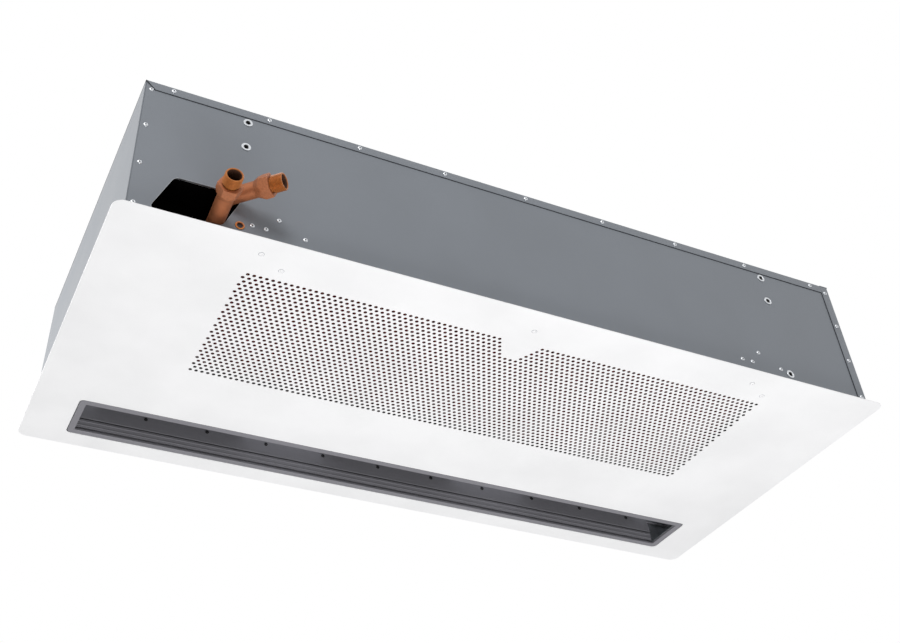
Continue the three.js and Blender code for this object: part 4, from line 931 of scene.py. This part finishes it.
# ---------------------------------------------------------------- face panel
class AIRCURTAIN_OT_face_panel(bpy.types.Operator):
    """The perforated face panel with its tabs and rivets"""

    bl_idname = "aircurtain.face_panel"
    bl_label = "Face panel"

    def field(self, bm, radius):
        """Staggered holes, each in its own cell; the cells' outer edge is returned."""
        p, q = HOLE_PITCH, ROW_PITCH
        corners = {}

        def corner(x, y, z):
            key = (round(x * 100), round(y * 100), z)
            if key not in corners:
                corners[key] = bm.verts.new((x, y, z))
            return corners[key]

        def shift(row):
            return HOLE_SHIFTS[row % 2]

        turns = circle(0, 0, 1, 12)
        around = {"TR": (1, 1), "TM": (0, 1), "TL": (-1, 1)}
        around |= {"BL": (-1, -1), "BM": (0, -1), "BR": (1, -1)}
        # Each triangle joins points round the cell with points of the hole, by their number.
        fan = [("TR", "BR", 0), ("TR", 0, 1), ("BR", 11, 0), ("TM", "TR", 2), ("TR", 1, 2)]
        fan += [("TM", 2, 3), ("TL", "TM", 4), ("TM", 3, 4), ("TL", 4, 5), ("BL", "TL", 6)]
        fan += [("TL", 5, 6), ("BL", 6, 7), ("BM", "BL", 8), ("BL", 7, 8), ("BM", 8, 9)]
        fan += [("BR", "BM", 10), ("BM", 9, 10), ("BR", 10, 11)]
        for row in range(HOLE_ROWS):
            y = FIRST_ROW_Y + q * row
            first, last = BARE_PLACE.get(row, (1, 0))
            for column in range(HOLES_IN_ROW):
                x = (column - shift(row)) * p
                rings = []
                # A punched hole is wider on the side where the punch breaks out.
                for z, reach in ((0, radius), (SHEET, radius + PUNCH_BREAKOUT)):
                    ring = {
                        key: corner(x + i * p / 2, y + j * q / 2, z)
                        for key, (i, j) in around.items()
                    }
                    if first <= column <= last:
                        bm.faces.new(list(ring.values()))
                        continue
                    for k, (c, s) in enumerate(turns):
                        ring[k] = bm.verts.new((x + reach * c, y + reach * s, z))
                    for a, b, c in fan:
                        bm.faces.new((ring[a], ring[b], ring[c]))
                    rings.append([ring[k] for k in range(12)])
                if rings:
                    stitch(bm, rings)
        bottom = FIRST_ROW_Y - q / 2
        halves = range(2 * HOLES_IN_ROW + 1)
        edge = [((i / 2 - 0.5 - shift(0)) * p, bottom) for i in halves]
        for row in range(HOLE_ROWS):
            x = (HOLES_IN_ROW - 0.5 - shift(row)) * p
            edge += [(x, bottom + q * row), (x, bottom + q * (row + 1))]
        last = HOLE_ROWS - 1
        edge += [((i / 2 - 0.5 - shift(last)) * p, bottom + q * HOLE_ROWS) for i in halves[::-1]]
        for row in range(last, -1, -1):
            x = (-0.5 - shift(row)) * p
            edge += [(x, bottom + q * (row + 1)), (x, bottom + q * row)]
        clean = [edge[0]]
        for point in edge[1:]:
            if math.dist(point, clean[-1]) > 0.01 and math.dist(point, clean[0]) > 0.01:
                clean.append(point)
        return clean

    def execute(self, context):
        bm = bmesh.new()
        edge = self.field(bm, sizes().hole / MM / 2)
        sheet = rounded(-PANEL_HALF, PANEL_HALF, PANEL_NEAR, PANEL_FAR, PANEL_CORNER, 12)
        slot = rounded(-SLOT_HALF, SLOT_HALF, SLOT_NEAR, SLOT_FAR, 9)[::-1]
        break_edge = 0.4
        rings = [[], []]
        for loop in (sheet, slot):
            inner = offset(loop, break_edge)
            levels = [(inner, 0), (loop, break_edge), (loop, SHEET - break_edge), (inner, SHEET)]
            made = [[bm.verts.new((x, y, z)) for x, y in outline] for outline, z in levels]
            stitch(bm, made)
            rings[0].append((inner, made[0]))
            rings[1].append((inner, made[-1]))
        for i, z in enumerate((0, SHEET)):
            rings[i].append((edge[::-1], [bm.verts.new((x, y, z)) for x, y in edge[::-1]]))
            close(bm, rings[i])
        bmesh.ops.remove_doubles(bm, verts=bm.verts, dist=0.005)
        for x in CATCHES:
            block(bm, x - 10, x + 10, 662.5, 664, SHEET / 2, 20)
        stand_in("face_panel", "sheet", bm, panel_paint(), "panel")
        places = [(x + along, y) for x in HINGES for along, y in PANEL_RIVETS]
        places.append((0, MIDDLE_RIVET_Y))
        bm = bmesh.new()
        for x, y in places:
            rivet(bm, (x, y, 0), (0, 0, -1))
        piece("Face_panel_rivets", bm, panel_paint(), "panel")
        # A thin grey ring round each head: painted shadow of the rivet on the panel.
        bm = bmesh.new()
        for x, y in places:
            lathe(
                bm, [(3, -0.1), (4.6, -0.1), (4.9, 0), (4.9, 0.1), (4.6, 0.2), (3, 0.2)],
                (x, y, 0), (0, 0, -1), 24, closed=True,
            )
        piece("Face_panel_rivet_shadow_rings", bm, pale_edge_grey(), "panel")
        return {"FINISHED"}


class AIRCURTAIN_OT_hinges(bpy.types.Operator):
    """Hinges, spring catches and the foam strip round the face panel"""

    bl_idname = "aircurtain.hinges"
    bl_label = "Hinges and catches"

    def knuckle(self, bm, x0, x1):
        """The part of a leaf that is rolled round the pin."""
        prism(bm, [circle(*HINGE_AXIS, 3.5), circle(*HINGE_AXIS, 1.8)], x0, x1, "x", 0.25)

    def execute(self, context):
        y_axis, z_axis = HINGE_AXIS
        for name, x in zip(("left", "right"), HINGES):
            bm = bmesh.new()
            back, front = LAYER, LAYER + 2
            prism(bm, [rounded(x - 56, x + 56, FOOT[1], 76, 4)], back, front, "y", 0.3)
            for a, b in ((-33.5, -16.5), (16.5, 33.5)):
                block(bm, x + a, x + b, back, front, 3, 9)
                block(bm, x + a, x + b, y_axis, front, 3, 5)
                self.knuckle(bm, x + a, x + b)
            stand_in(f"hinge_wall_leaf_{name}", "pressed", bm, zinc_plate())
            bm = bmesh.new()
            leaf = rounded(x - 33.5, x + 33.5, back + 4, 52, 4)
            prism(bm, [leaf], LAYER, LAYER + SHEET, "z", 0.3)
            block(bm, x - 16, x + 16, y_axis, back + 5, LAYER, LAYER + SHEET)
            self.knuckle(bm, x - 16, x + 16)
            stand_in(
                f"hinge_panel_leaf_{name}", "pressed", bm, zinc_plate(), "panel"
            )
            bm = bmesh.new()
            rod(bm, (x - 34.5, y_axis, z_axis), (x + 34.5, y_axis, z_axis), 1.6)
            lathe(
                bm, [(0, 0), (2.0, 0), (2.7, 0.5), (2.7, 1.3), (2.4, 1.6), (0, 1.6)],
                (x - 35.5, y_axis, z_axis), (1, 0, 0), 24,
            )
            stand_in(f"hinge_pin_{name}", "turned", bm, zinc_plate())
        for name, x in zip(("left", "right"), CATCHES):
            bm = bmesh.new()
            section = [
                (657.2, 8.5), (661.3, 8.5), (661.3, 20.2), (662.3, 21.2), (664.2, 21.2),
                (665.2, 20.2), (665.2, 8.5), (669.2, 8.5), (669.2, 28.5), (657.2, 28.5),
            ]
            prism(bm, [section], x - 17, x + 17, "x", 0.5)
            for along in (-11, 11):
                head = [(0, 1.4), (0.9, 1.4), (1.4, 2.1), (2.6, 1.8), (3.2, 0.6), (3.2, 0), (0, 0)]
                lathe(bm, head, (x + along, 657.4, 24.5), (0, -1, 0), 20)
            stand_in(f"panel_catch_{name}", "cast", bm, zinc_plate())
        bm = bmesh.new()
        outline = [
            (-723, 34), (-715, 34), (-715, 649), (715, 649),
            (715, 34), (723, 34), (723, 657), (-723, 657),
        ]
        prism(bm, [outline], LAYER, CASING_FOOT - FIT, "z", 0.9)
        stand_in("panel_gasket", "strip", bm, closed_cell_foam())
        return {"FINISHED"}


# ---------------------------------------------------------------- outlet
class AIRCURTAIN_OT_outlet(bpy.types.Operator):
    """Slot frame, duct and the two ribbed guide profiles"""

    bl_idname = "aircurtain.outlet"
    bl_label = "Outlet slot"

    def profile(self, name, wall, forward):
        """One ribbed profile; forward points from the duct's wall into the slot."""
        section = [(0.3, 4.6), (5.4, 4.6), (5.4, 9.2), (5.8, 9.6), (9.0, 9.6), (9.4, 10.0)]
        for height in (14.2, 23.1):
            for k in range(7):
                turn = math.pi * k / 6
                section.append((9.4 + 0.6 * math.sin(turn), height - 1.3 * math.cos(turn)))
        section += [(9.4, 26.6), (9.0, 27.0), (1.8, 27.0), (1.8, 68.2), (0.3, 68.2)]
        bm = bmesh.new()
        outline = [(wall + forward * out, z) for out, z in section]
        prism(bm, [outline], -MOUTH_HALF + FIT, MOUTH_HALF - FIT, "x")
        # The profiles take the darker copy of the anodising: painted shade.
        stand_in(name, "extruded", bm, shaded_anodising())

    def execute(self, context):
        bm = bmesh.new()
        outer = rounded(-666, 666, SLOT_NEAR + 1.5, SLOT_FAR - 1.5, 8)
        mouth = rounded(-MOUTH_HALF, MOUTH_HALF, MOUTH_NEAR, MOUTH_FAR, 1.2)
        prism(bm, [outer, mouth], 0, 2, "z", 0.5)
        lip = rounded(
            -MOUTH_HALF - 1.6, MOUTH_HALF + 1.6, MOUTH_NEAR - 1.6, MOUTH_FAR + 1.6, 2
        )
        prism(bm, [lip, mouth], 1.0, 4, "z", 0.3)
        stand_in("outlet_frame", "pressed", bm, anodised_aluminium())
        self.profile("guide_profile_near", SLOT_NEAR + 2.5, 1)
        self.profile("guide_profile_far", SLOT_FAR - 2.5, -1)
        coat_node("outlet_duct", galvanised_steel())
        return {"FINISHED"}


class AIRCURTAIN_OT_vane(bpy.types.Operator):
    """The adjustable air guide with its clamping screws"""

    bl_idname = "aircurtain.vane"
    bl_label = "Air guide"

    def execute(self, context):
        y, z = VANE_AXIS
        # The blade runs up past its pivot and thins to its lower edge.
        outline = [
            (y - 2.4, z + 6), (y - 2.6, z), (y - 5.9, 31), (y - 6, 29.4), (y - 5.6, 28.8),
            (y - 4.4, 29.8), (y - 3.6, 31.6), (y + 1, z), (y + 0.9, z + 6),
        ]
        bm = bmesh.new()
        prism(bm, [outline], -653, 653, "x", 0.1)
        rod(bm, (-712, y, z), (712, y, z), 2.6)
        # The vane takes the darker copy of the anodising: painted shade.
        stand_in("guide_vane", "blade", bm, shaded_anodising(), "vane")
        bm = bmesh.new()
        for x in VANE_SCREWS:
            profile = [(0, 2.8), (1.5, 2.8), (1.6, 4.6), (2.9, 4.6), (3.4, 4.1), (3.4, 0), (0, 0)]
            lathe(bm, profile, (x, y, 54), (0, -1, 0), 20)
        piece("Guide_vane_screws", bm, black_oxide_and_shade(), "vane")
        return {"FINISHED"}


# ---------------------------------------------------------------- coil and pipes
class AIRCURTAIN_OT_coil(bpy.types.Operator):
    """Fins, tubes, return bends and end plates of the water coil"""

    bl_idname = "aircurtain.coil"
    bl_label = "Coil"

    def execute(self, context):
        bm = bmesh.new()
        gap = sizes().fin_gap / MM
        count = int(2 * FINS_X / gap)
        for i in range(count + 1):
            x = -FINS_X + 0.3 + (2 * FINS_X - 0.6) * i / count
            block(bm, x - 0.25, x + 0.25, *FINS_Y, *FINS_Z, 0)
        piece("Coil_fins", bm, fin_foil(), stands_for=["fin_pack"])
        bm = bmesh.new()
        for y in COIL_TUBES_Y:
            for z in COIL_ROWS_Z:
                tube(bm, [(-FINS_X - 1, y, z), (FINS_X + 1, y, z)], TUBE_RADIUS + 0.3, 16)
        piece("Coil_tubes", bm, drawn_copper())
        bm = bmesh.new()
        out = FINS_X + FIT + SHEET
        for y in COIL_TUBES_Y[::2]:
            for z in COIL_ROWS_Z:
                path = [(out - 1, y, z)]
                for k in range(13):
                    turn = math.pi * k / 12
                    path.append((out + 2 + 18 * math.sin(turn), y + 18 - 18 * math.cos(turn), z))
                path.append((out - 1, y + 36, z))
                tube(bm, path, TUBE_RADIUS, 16)
        piece("Coil_return_bends", bm, drawn_copper())
        bm = bmesh.new()
        prism(bm, [rounded(*FINS_Y, FINS_Z[0], SHELF_Z - FIT, 3)], out - SHEET, out, "x", 0.3)
        stand_in("coil_end_right", "plate", bm, galvanised_steel())
        for node in ("coil_end_left", "coil_shelf"):
            coat_node(node, galvanised_steel())
        return {"FINISHED"}


class AIRCURTAIN_OT_pipes(bpy.types.Operator):
    """Headers, water pipes, threaded fittings and the drain nipple"""

    bl_idname = "aircurtain.pipes"
    bl_label = "Water pipes"

    def header(self, name, x, z, start):
        """A header with its end cap and the stubs that join the coil's tubes."""
        bm = bmesh.new()
        reach = HEADER_END - start
        profile = [(PIPE_BORE, 0), (PIPE_RADIUS, 0), (PIPE_RADIUS, reach - 4)]
        profile += [(PIPE_RADIUS - 1.2, reach - 1.2), (PIPE_RADIUS - 4, reach), (0, reach)]
        inner = [(0, reach - 1.5), (PIPE_BORE - 2, reach - 1.5), (PIPE_BORE, reach - 4)]
        lathe(bm, profile, (x, start, z), (0, 1, 0), 32)
        lathe(bm, [(PIPE_BORE, 0)] + inner[::-1], (x, start, z), (0, 1, 0), 32)
        for y in COIL_TUBES_Y:
            tube(bm, [(x + 10, y, z), (-FINS_X - 2.1, y, z)], TUBE_RADIUS, 16)
            collar = [(TUBE_RADIUS, 3.5), (TUBE_RADIUS + 0.8, 1.6), (TUBE_RADIUS + 2.4, -0.4)]
            lathe(bm, collar, (x + PIPE_RADIUS - 0.6, y, z), (1, 0, 0), 16)
        stand_in(name, "brazed", bm, drawn_copper())

    def fitting(self, name, end, direction):
        """Hexagon and outer thread, cut from one bar; the end is the thread's mouth."""
        across = Vector((0, 0, 1)).cross(direction).normalized()
        upright = direction.cross(across)
        radius, bore, length = THREAD
        pitch = sizes().thread_pitch / MM
        relief, depth, rows = 3, 1.3, 176  # turned neck, ridge height, and rows of points
        bm = bmesh.new()

        def ring(reach, height, steps=72):
            """A ring round the axis; reach is a radius or gives one for each turn."""
            made = []
            for k in range(steps):
                a = math.tau * k / steps
                r = reach(a) if callable(reach) else reach
                place = across * r * math.cos(a) + upright * r * math.sin(a)
                made.append(bm.verts.new(end + place + direction * height))
            return made

        # The thread's root runs out into a turned relief at the hexagon.
        root = radius - 2.6
        rings = [ring(root, -length - 1, 48), ring(root, relief - length - 0.7, 48)]
        for row in range(rows + 1):
            height = relief - length + (length - relief) * row / rows
            lead = max(0.0, 1.0 + height / 1.2) * 0.8

            def ridge(a):
                phase = (height / pitch - a / math.tau) % 1
                return radius - depth * max(abs(2 * phase - 1), lead)

            rings.append(ring(ridge, height, 48))
        inside = ((bore + 1.2, 0), (bore + 0.6, -0.6), (bore + 0.6, 1 - FITTING_LENGTH))
        rings += [ring(reach, height, 48) for reach, height in inside]
        stitch(bm, rings)
        piece(name.capitalize() + "_threaded", bm, red_brass(), sharp=40)
        # The bore is drawn dark brown: painted shade in the hollow.
        bm = bmesh.new()
        skin = [(bore + 0.5, -1), (bore + 0.1, -1.2), (bore + 0.1, -46), (bore + 0.5, -46)]
        lathe(bm, skin, end, direction, 48, closed=True)
        piece(name.capitalize() + "_bore", bm, shaded_bore_brown())
        # The hexagon's far end slants down to the pipe; its mouth only loses its corners.
        bm = bmesh.new()
        slope = math.tan(math.radians(HEX_SHOULDER_TURN))
        heights = [i - FITTING_LENGTH for i in range(16)]
        rings = [ring(bore, -FITTING_LENGTH)]
        for height in heights + [-length - 0.6, -length]:
            far = PIPE_RADIUS - 0.1 + (height + FITTING_LENGTH) * slope
            near = HEX_FLAT + 1.4 + (-length - height) * 2.4

            def flank(a):
                flat = HEX_FLAT / math.cos(a % (math.pi / 3) - math.pi / 6)
                return min(flat, far, near)

            rings.append(ring(flank, height))
        rings += [ring(radius + 0.4, -length), ring(radius - 1.5, -length - 0.2)]
        stitch(bm, rings)
        stand_in(name, "machined", bm, heated_brass(), sharp=24)

    def water_pipe(self, name, path, end, direction):
        """A drawn pipe that ends in a soldered fitting."""
        direction = direction.normalized()
        # Solder closes the joint, so that the drawn end runs into the fitting.
        foot = end - direction * (FITTING_LENGTH - 0.6)
        bm = bmesh.new()
        tube(bm, [*path, foot], PIPE_RADIUS, 40, PIPE_BORE)
        stand_in(name + "_pipe", "drawn", bm, drawn_copper())
        self.fitting(name + "_fitting", end, direction)

    def execute(self, context):
        self.header("lower_header", LOWER_HEADER_X, COIL_ROWS_Z[0], 45)
        self.header("upper_header", UPPER_HEADER_X, COIL_ROWS_Z[1], UPPER_HEADER_START)
        turn, rise = math.radians(3), math.radians(1.2)
        lower = Vector((-math.sin(turn), -math.cos(turn), math.sin(rise)))
        start = Vector((LOWER_HEADER_X, 45 - FIT - PIPE_RADIUS * math.sin(turn), 37))
        self.water_pipe("lower", [start], start + lower * (start.y + 98.8) / -lower.y, lower)

        turn = math.radians(45)
        upper = Vector((math.sin(turn), -math.cos(turn), 0))
        at_wall = Vector((UPPER_PIPE_AT_WALL, 0, COIL_ROWS_Z[1]))
        corner = at_wall - upper * (at_wall.x - UPPER_HEADER_X) / math.sin(turn)
        reach = 30 * math.tan(turn / 2)
        path = [Vector((UPPER_HEADER_X, UPPER_HEADER_START - FIT, COIL_ROWS_Z[1]))]
        for k in range(13):
            t = k / 12
            path.append(corner + Vector((0, reach, 0)) * (1 - t) ** 2 + upper * reach * t * t)
        self.water_pipe("upper", path, at_wall + upper * 76.7 / math.cos(turn), upper)

        x, z = NIPPLE
        bm = bmesh.new()
        path = [(x, -1, z), (x, 42, z)]
        for k in range(1, 9):
            turn = math.pi / 2 * k / 8
            path.append((x - 14 + 14 * math.cos(turn), 42 + 14 * math.sin(turn), z))
        path.append((LOWER_HEADER_X + PIPE_RADIUS + FIT, 56, z))
        tube(bm, path, NIPPLE_RADIUS, 24, NIPPLE_RADIUS - 1.9)
        stand_in("drain_nipple", "bent", bm, drawn_copper())
        # The mouth is flared to a cone; its light colour is painted highlight.
        bm = bmesh.new()
        mouth = [
            (NIPPLE_RADIUS - 1.9, 9), (NIPPLE_RADIUS - 1.9, 2.6), (NIPPLE_RADIUS - 0.4, -1.2),
            (NIPPLE_RADIUS + 0.5, -1.2), (NIPPLE_RADIUS + 0.7, -0.8), (NIPPLE_RADIUS + 0.2, 1.5),
            (NIPPLE_RADIUS - 0.6, 9),
        ]
        lathe(bm, mouth, (x, 0, z), (0, 1, 0), 32, closed=True)
        piece("Drain_nipple_mouth", bm, highlight_brass())
        # A near-black plug inside the nipple: painted shade in its bore.
        bm = bmesh.new()
        rod(bm, (x, 1.6, z), (x, 9, z), NIPPLE_RADIUS - 1.8, 24, 0.2)
        piece("Drain_nipple_shade_plug", bm, shade_dark_rubber())
        return {"FINISHED"}


class AIRCURTAIN_OT_shade_sheets(bpy.types.Operator):
    """Near-black sheets round the headers, inside the pipe opening: painted shade"""

    bl_idname = "aircurtain.lining"
    bl_label = "Shade sheets"

    def execute(self, context):
        # Each sheet is painted shade, where the casing's inside lies in shadow.
        sheets = {
            "Shade_sheet_under_shelf": (-724, -523, 6, 380, 96, 99.2),
            "Shade_sheet_left_side": (-728.2, -725, 36, 380, 10, 99),
            "Shade_sheet_coil_end": (-523.4, -522, 78, 378, 20, 96),
            "Shade_sheet_behind_headers": (-724, -523.5, 382, 385, 10, 99),
            "Shade_sheet_in_opening": (-724, -606, 60, 64, 8, 95),
        }
        for name, sides in sheets.items():
            bm = bmesh.new()
            block(bm, *sides, 0.3)
            piece(name, bm, shade_black_foam())
        return {"FINISHED"}


# ---------------------------------------------------------------- fans
def scroll_outline(inset=0.0):
    """Side view of a fan's housing, whose radius shrinks evenly round the turn."""
    large, small, turn = SCROLL
    points = [(FAN_Y + large - inset, DUCT_TOP + FIT)]
    for i in range(61):
        degrees = turn * i / 60
        radius = large - (large - small) * degrees / turn - inset
        a = math.radians(degrees)
        points.append((FAN_Y + radius * math.cos(a), FAN_Z + radius * math.sin(a)))
    points.append((FAN_Y + small * math.cos(math.radians(turn)) + inset, DUCT_TOP + FIT))
    return points


class AIRCURTAIN_OT_fans(bpy.types.Operator):
    """Fan housings, wheels, motors and their brackets"""

    bl_idname = "aircurtain.fans"
    bl_label = "Fans"

    def housing(self, x, number):
        bm = bmesh.new()
        outline = scroll_outline()
        inner = scroll_outline(SHEET)
        prism(bm, [outline + inner[::-1]], x - FAN_HALF + 1, x + FAN_HALF - 1, "x")
        for side in (-1, 1):
            face = x + side * FAN_HALF
            low, high = sorted((face, face - side * SHEET))
            prism(bm, [outline, circle(FAN_Y, FAN_Z, INLET_RADIUS + 4, 48)], low, high, "x", 0.3)
            # The inlet's rim is rolled inwards as a bell mouth.
            rim = []
            for k in range(9):
                a = math.pi / 2 * k / 8
                rim.append((INLET_RADIUS + 6 - 6 * math.sin(a), 6 - 6 * math.cos(a)))
            rim = rim + [(r + 1.2, h + 0.4) for r, h in rim[::-1]]
            lathe(bm, rim, (face, FAN_Y, FAN_Z), (-side, 0, 0), 48, closed=True)
        stand_in(f"fan_housing_{number}", "scroll", bm, galvanised_steel())

    def wheel(self, x, number):
        bm = bmesh.new()
        blades = sizes().blades
        for i in range(blades):
            start = math.tau * i / blades
            line = []
            for k in range(5):
                t = k / 4
                radius = WHEEL_INNER + 0.6 + (WHEEL_RADIUS - WHEEL_INNER - 1.2) * t
                a = start + math.radians(2 + 9 * t * t)
                line.append((FAN_Y + radius * math.cos(a), FAN_Z + radius * math.sin(a)))
            outline = offset(line, 0.5, False) + offset(line, -0.5, False)[::-1]
            prism(bm, [outline], x - WHEEL_HALF + 1, x + WHEEL_HALF - 1, "x")
        centre = (x, FAN_Y, FAN_Z)
        for side in (-1, 1):
            end = side * WHEEL_HALF
            ring = [
                (WHEEL_INNER, end), (WHEEL_RADIUS - 0.5, end), (WHEEL_RADIUS, end - side * 0.6),
                (WHEEL_RADIUS, end - side * 3), (WHEEL_INNER + 0.8, end - side * 3),
            ]
            lathe(bm, ring, centre, (1, 0, 0), 48, closed=True)
        disc = [
            (5.3, -3), (15.4, -3), (16, -2.4), (16, -1.5), (WHEEL_RADIUS, -1.5),
            (WHEEL_RADIUS, 1.5), (20, 1.5), (17, 3), (16, 6), (16, 23), (15, 24), (5.3, 24),
        ]
        lathe(bm, disc, centre, (1, 0, 0), 48, closed=True)
        stand_in(
            f"fan_wheel_{number}", "moulded", bm, wheel_plastic(),
            f"wheel_{number}",
        )

    def motor(self, x, number):
        start, end, radius = MOTOR
        bm = bmesh.new()
        profile = [(0, start), (radius - 8, start), (radius - 3, start + 2)]
        profile.append((radius - 1, start + 6))
        for k in range(6):
            a = start + 12 + 10 * k
            profile += [(radius - 1, a), (radius, a + 1), (radius, a + 5), (radius - 1, a + 6)]
        profile += [(radius - 1, end - 6), (radius - 4, end - 1.5), (radius - 12, end), (11, end)]
        profile += [(10, end + 2), (5, end + 2), (5, 27.4), (4.4, 28), (0, 28)]
        lathe(bm, profile, (x, FAN_Y, FAN_Z), (1, 0, 0), 48)
        stand_in(f"fan_motor_{number}", "cased", bm, motor_enamel())

    def execute(self, context):
        for number, x in enumerate(FAN_X, 1):
            self.housing(x, number)
            self.wheel(x, number)
            self.motor(x, number)
            coat_node(f"motor_bracket_{number}", zinc_plate())
        coat_node("fan_shelf", galvanised_steel())
        return {"FINISHED"}


class AIRCURTAIN_OT_electrics(bpy.types.Operator):
    """Control box, its board and lid, and the cable glands"""

    bl_idname = "aircurtain.electrics"
    bl_label = "Electrics"

    def execute(self, context):
        coat_node("control_box", casing_paint())
        coat_node("control_box_lid", galvanised_steel())
        coat_node("control_board", circuit_board())
        for number, y in enumerate(GLANDS_Y, 1):
            bm = bmesh.new()
            centre = (CASING_HALF, y, GLAND_Z)
            nut = [circle(y, GLAND_Z, 11, 6), circle(y, GLAND_Z, 6)]
            prism(bm, nut, CASING_HALF + FIT, CASING_HALF + 6.5, "x", 0.6)
            profile = [(5.5, -9.5), (7.7, -9.5), (7.7, 6.6), (9.6, 6.6), (9.9, 8), (9.9, 12.5)]
            profile += [(9.4, 15), (8.3, 17.2), (7.4, 18), (6.2, 18), (5.5, 17.2)]
            lathe(bm, profile, centre, (1, 0, 0), 36, closed=True)
            # Grip ribs round the dome nut.
            for place in circle(y, GLAND_Z, 9.7, 18):
                rod(bm, (CASING_HALF + 6.8, *place), (CASING_HALF + 12.6, *place), 0.7, 8, 0.2)
            stand_in(f"cable_gland_{number}", "moulded", bm, gland_plastic())
        return {"FINISHED"}


# ---------------------------------------------------------------- stage, in metres and degrees
FLOOR_Z = -4.3
FLOOR_HALF = 30
SKY_LIGHT = 0.44
LAMPS = (  # name, place, aim, size and watts
    ("Lamp_below", (0.1, -0.9, -3.0), (0.05, -0.1, -0.3), 1.6, 48),
    ("Lamp_front", (-1.9, -3.3, 1.5), (0, 0, -0.15), 1.4, 60),
    ("Lamp_left", (-3.0, 1.9, 0.1), (0, 0, -0.15), 2.0, 88),
    ("Lamp_above", (0.8, 0.6, 2.6), (0, 0, 0), 2.4, 30),
)
LENS_MM = 46.59
CAMERA_SHIFT = (0.0389, -0.1239)
CAMERA_PLACE = (-0.9351, -1.6722, -1.4949)
CAMERA_TURN = (132.3916, 2.3558, -25.4728)


class AIRCURTAIN_OT_stage(bpy.types.Operator):
    """Floor, background, lamps and camera"""

    bl_idname = "aircurtain.stage"
    bl_label = "Stage"

    def floor(self):
        mesh = bpy.data.meshes.new("Floor")
        mesh.from_pydata(
            [(x * FLOOR_HALF, y * FLOOR_HALF, 0) for x, y in ((-1, -1), (1, -1), (1, 1), (-1, 1))],
            [], [(0, 1, 2, 3)],
        )
        made = bpy.data.objects.new("Floor", mesh)
        made.location = (0, 0, FLOOR_Z)
        bpy.context.scene.collection.objects.link(made)
        material, tree, shader, coordinates = new_finish("painted_floor", {"Roughness": 0.8})
        grain = add_node(
            tree, "TexNoise", {"Scale": per_metre(400), "Detail": 4.0}, {"Vector": coordinates}
        )
        tint = [(0.3, linear("#ececec") + (1,)), (0.7, linear("#f2f2f2") + (1,))]
        drive(tree, shader, grain.outputs["Fac"], {"stops": tint})
        made.data.materials.append(material)

    def background(self):
        world = bpy.data.worlds.new("Studio")
        bpy.context.scene.world = world
        world.use_nodes = True
        tree = world.node_tree
        tree.nodes.clear()
        path = add_node(tree, "LightPath")
        # White to the camera and in reflections, softer as a light on the object.
        seen = add_node(
            tree, "Math", {"operation": "ADD"},
            {0: path.outputs["Is Camera Ray"], 1: path.outputs["Is Glossy Ray"]},
        )
        seen = add_node(
            tree, "Math", {"operation": "ADD", "use_clamp": True},
            {0: seen.outputs[0], 1: path.outputs["Is Transmission Ray"]},
        )
        strength = add_node(
            tree, "MapRange", {"To Min": SKY_LIGHT, "To Max": 1.0}, {"Value": seen.outputs[0]}
        )
        sky = add_node(
            tree, "Background", {"Color": (1, 1, 1, 1)}, {"Strength": strength.outputs["Result"]}
        )
        add_node(tree, "OutputWorld", links={"Surface": sky.outputs["Background"]})

    def lamp(self, name, place, aim, size, watts):
        light = bpy.data.lights.new(name, "AREA")
        light.shape = "SQUARE"
        light.size = size
        light.energy = watts
        made = bpy.data.objects.new(name, light)
        made.location = place
        made.rotation_mode = "QUATERNION"
        made.rotation_quaternion = (Vector(aim) - Vector(place)).to_track_quat("-Z", "Y")
        made.visible_camera = False
        bpy.context.scene.collection.objects.link(made)

    def execute(self, context):
        self.floor()
        self.background()
        for lamp in LAMPS:
            self.lamp(*lamp)
        camera = bpy.data.cameras.new("Camera")
        camera.sensor_width = 36
        camera.lens = LENS_MM
        camera.shift_x, camera.shift_y = CAMERA_SHIFT
        camera.clip_end = 100
        made = bpy.data.objects.new("Camera", camera)
        made.location = CAMERA_PLACE
        made.rotation_euler = [math.radians(a) for a in CAMERA_TURN]
        bpy.context.scene.collection.objects.link(made)
        bpy.context.scene.camera = made
        bpy.context.scene.view_settings.view_transform = "Standard"
        return {"FINISHED"}


PIECES = (
    AIRCURTAIN_OT_casing,
    AIRCURTAIN_OT_inserts,
    AIRCURTAIN_OT_face_panel,
    AIRCURTAIN_OT_hinges,
    AIRCURTAIN_OT_outlet,
    AIRCURTAIN_OT_vane,
    AIRCURTAIN_OT_coil,
    AIRCURTAIN_OT_pipes,
    AIRCURTAIN_OT_shade_sheets,
    AIRCURTAIN_OT_fans,
    AIRCURTAIN_OT_electrics,
    AIRCURTAIN_OT_stage,
)


class AIRCURTAIN_PT_pieces(bpy.types.Panel):
    """Lists the sizes, the colours and every piece of the air curtain"""

    bl_idname = "AIRCURTAIN_PT_pieces"
    bl_label = "Air curtain"
    bl_space_type = "VIEW_3D"
    bl_region_type = "UI"
    bl_category = "Air curtain"

    def draw(self, context):
        layout = self.layout
        for group in (context.scene.air_curtain_sizes, context.scene.air_curtain_colours):
            for name in group.bl_rna.properties.keys():
                if name not in ("rna_type", "name"):
                    layout.prop(group, name)
        for operator in PIECES:
            layout.operator(operator.bl_idname)


CLASSES = (AirCurtainSizes, AirCurtainColours, *PIECES, AIRCURTAIN_PT_pieces)


def register():
    for made in CLASSES:
        bpy.utils.register_class(made)
    bpy.types.Scene.air_curtain_sizes = bpy.props.PointerProperty(type=AirCurtainSizes)
    bpy.types.Scene.air_curtain_colours = bpy.props.PointerProperty(type=AirCurtainColours)


def unregister():
    del bpy.types.Scene.air_curtain_colours
    del bpy.types.Scene.air_curtain_sizes
    for made in reversed(CLASSES):
        bpy.utils.unregister_class(made)


def main():
    register()
    for operator in PIECES:
        group, name = operator.bl_idname.split(".")
        getattr(getattr(bpy.ops, group), name)()


if __name__ == "__main__":
    main()
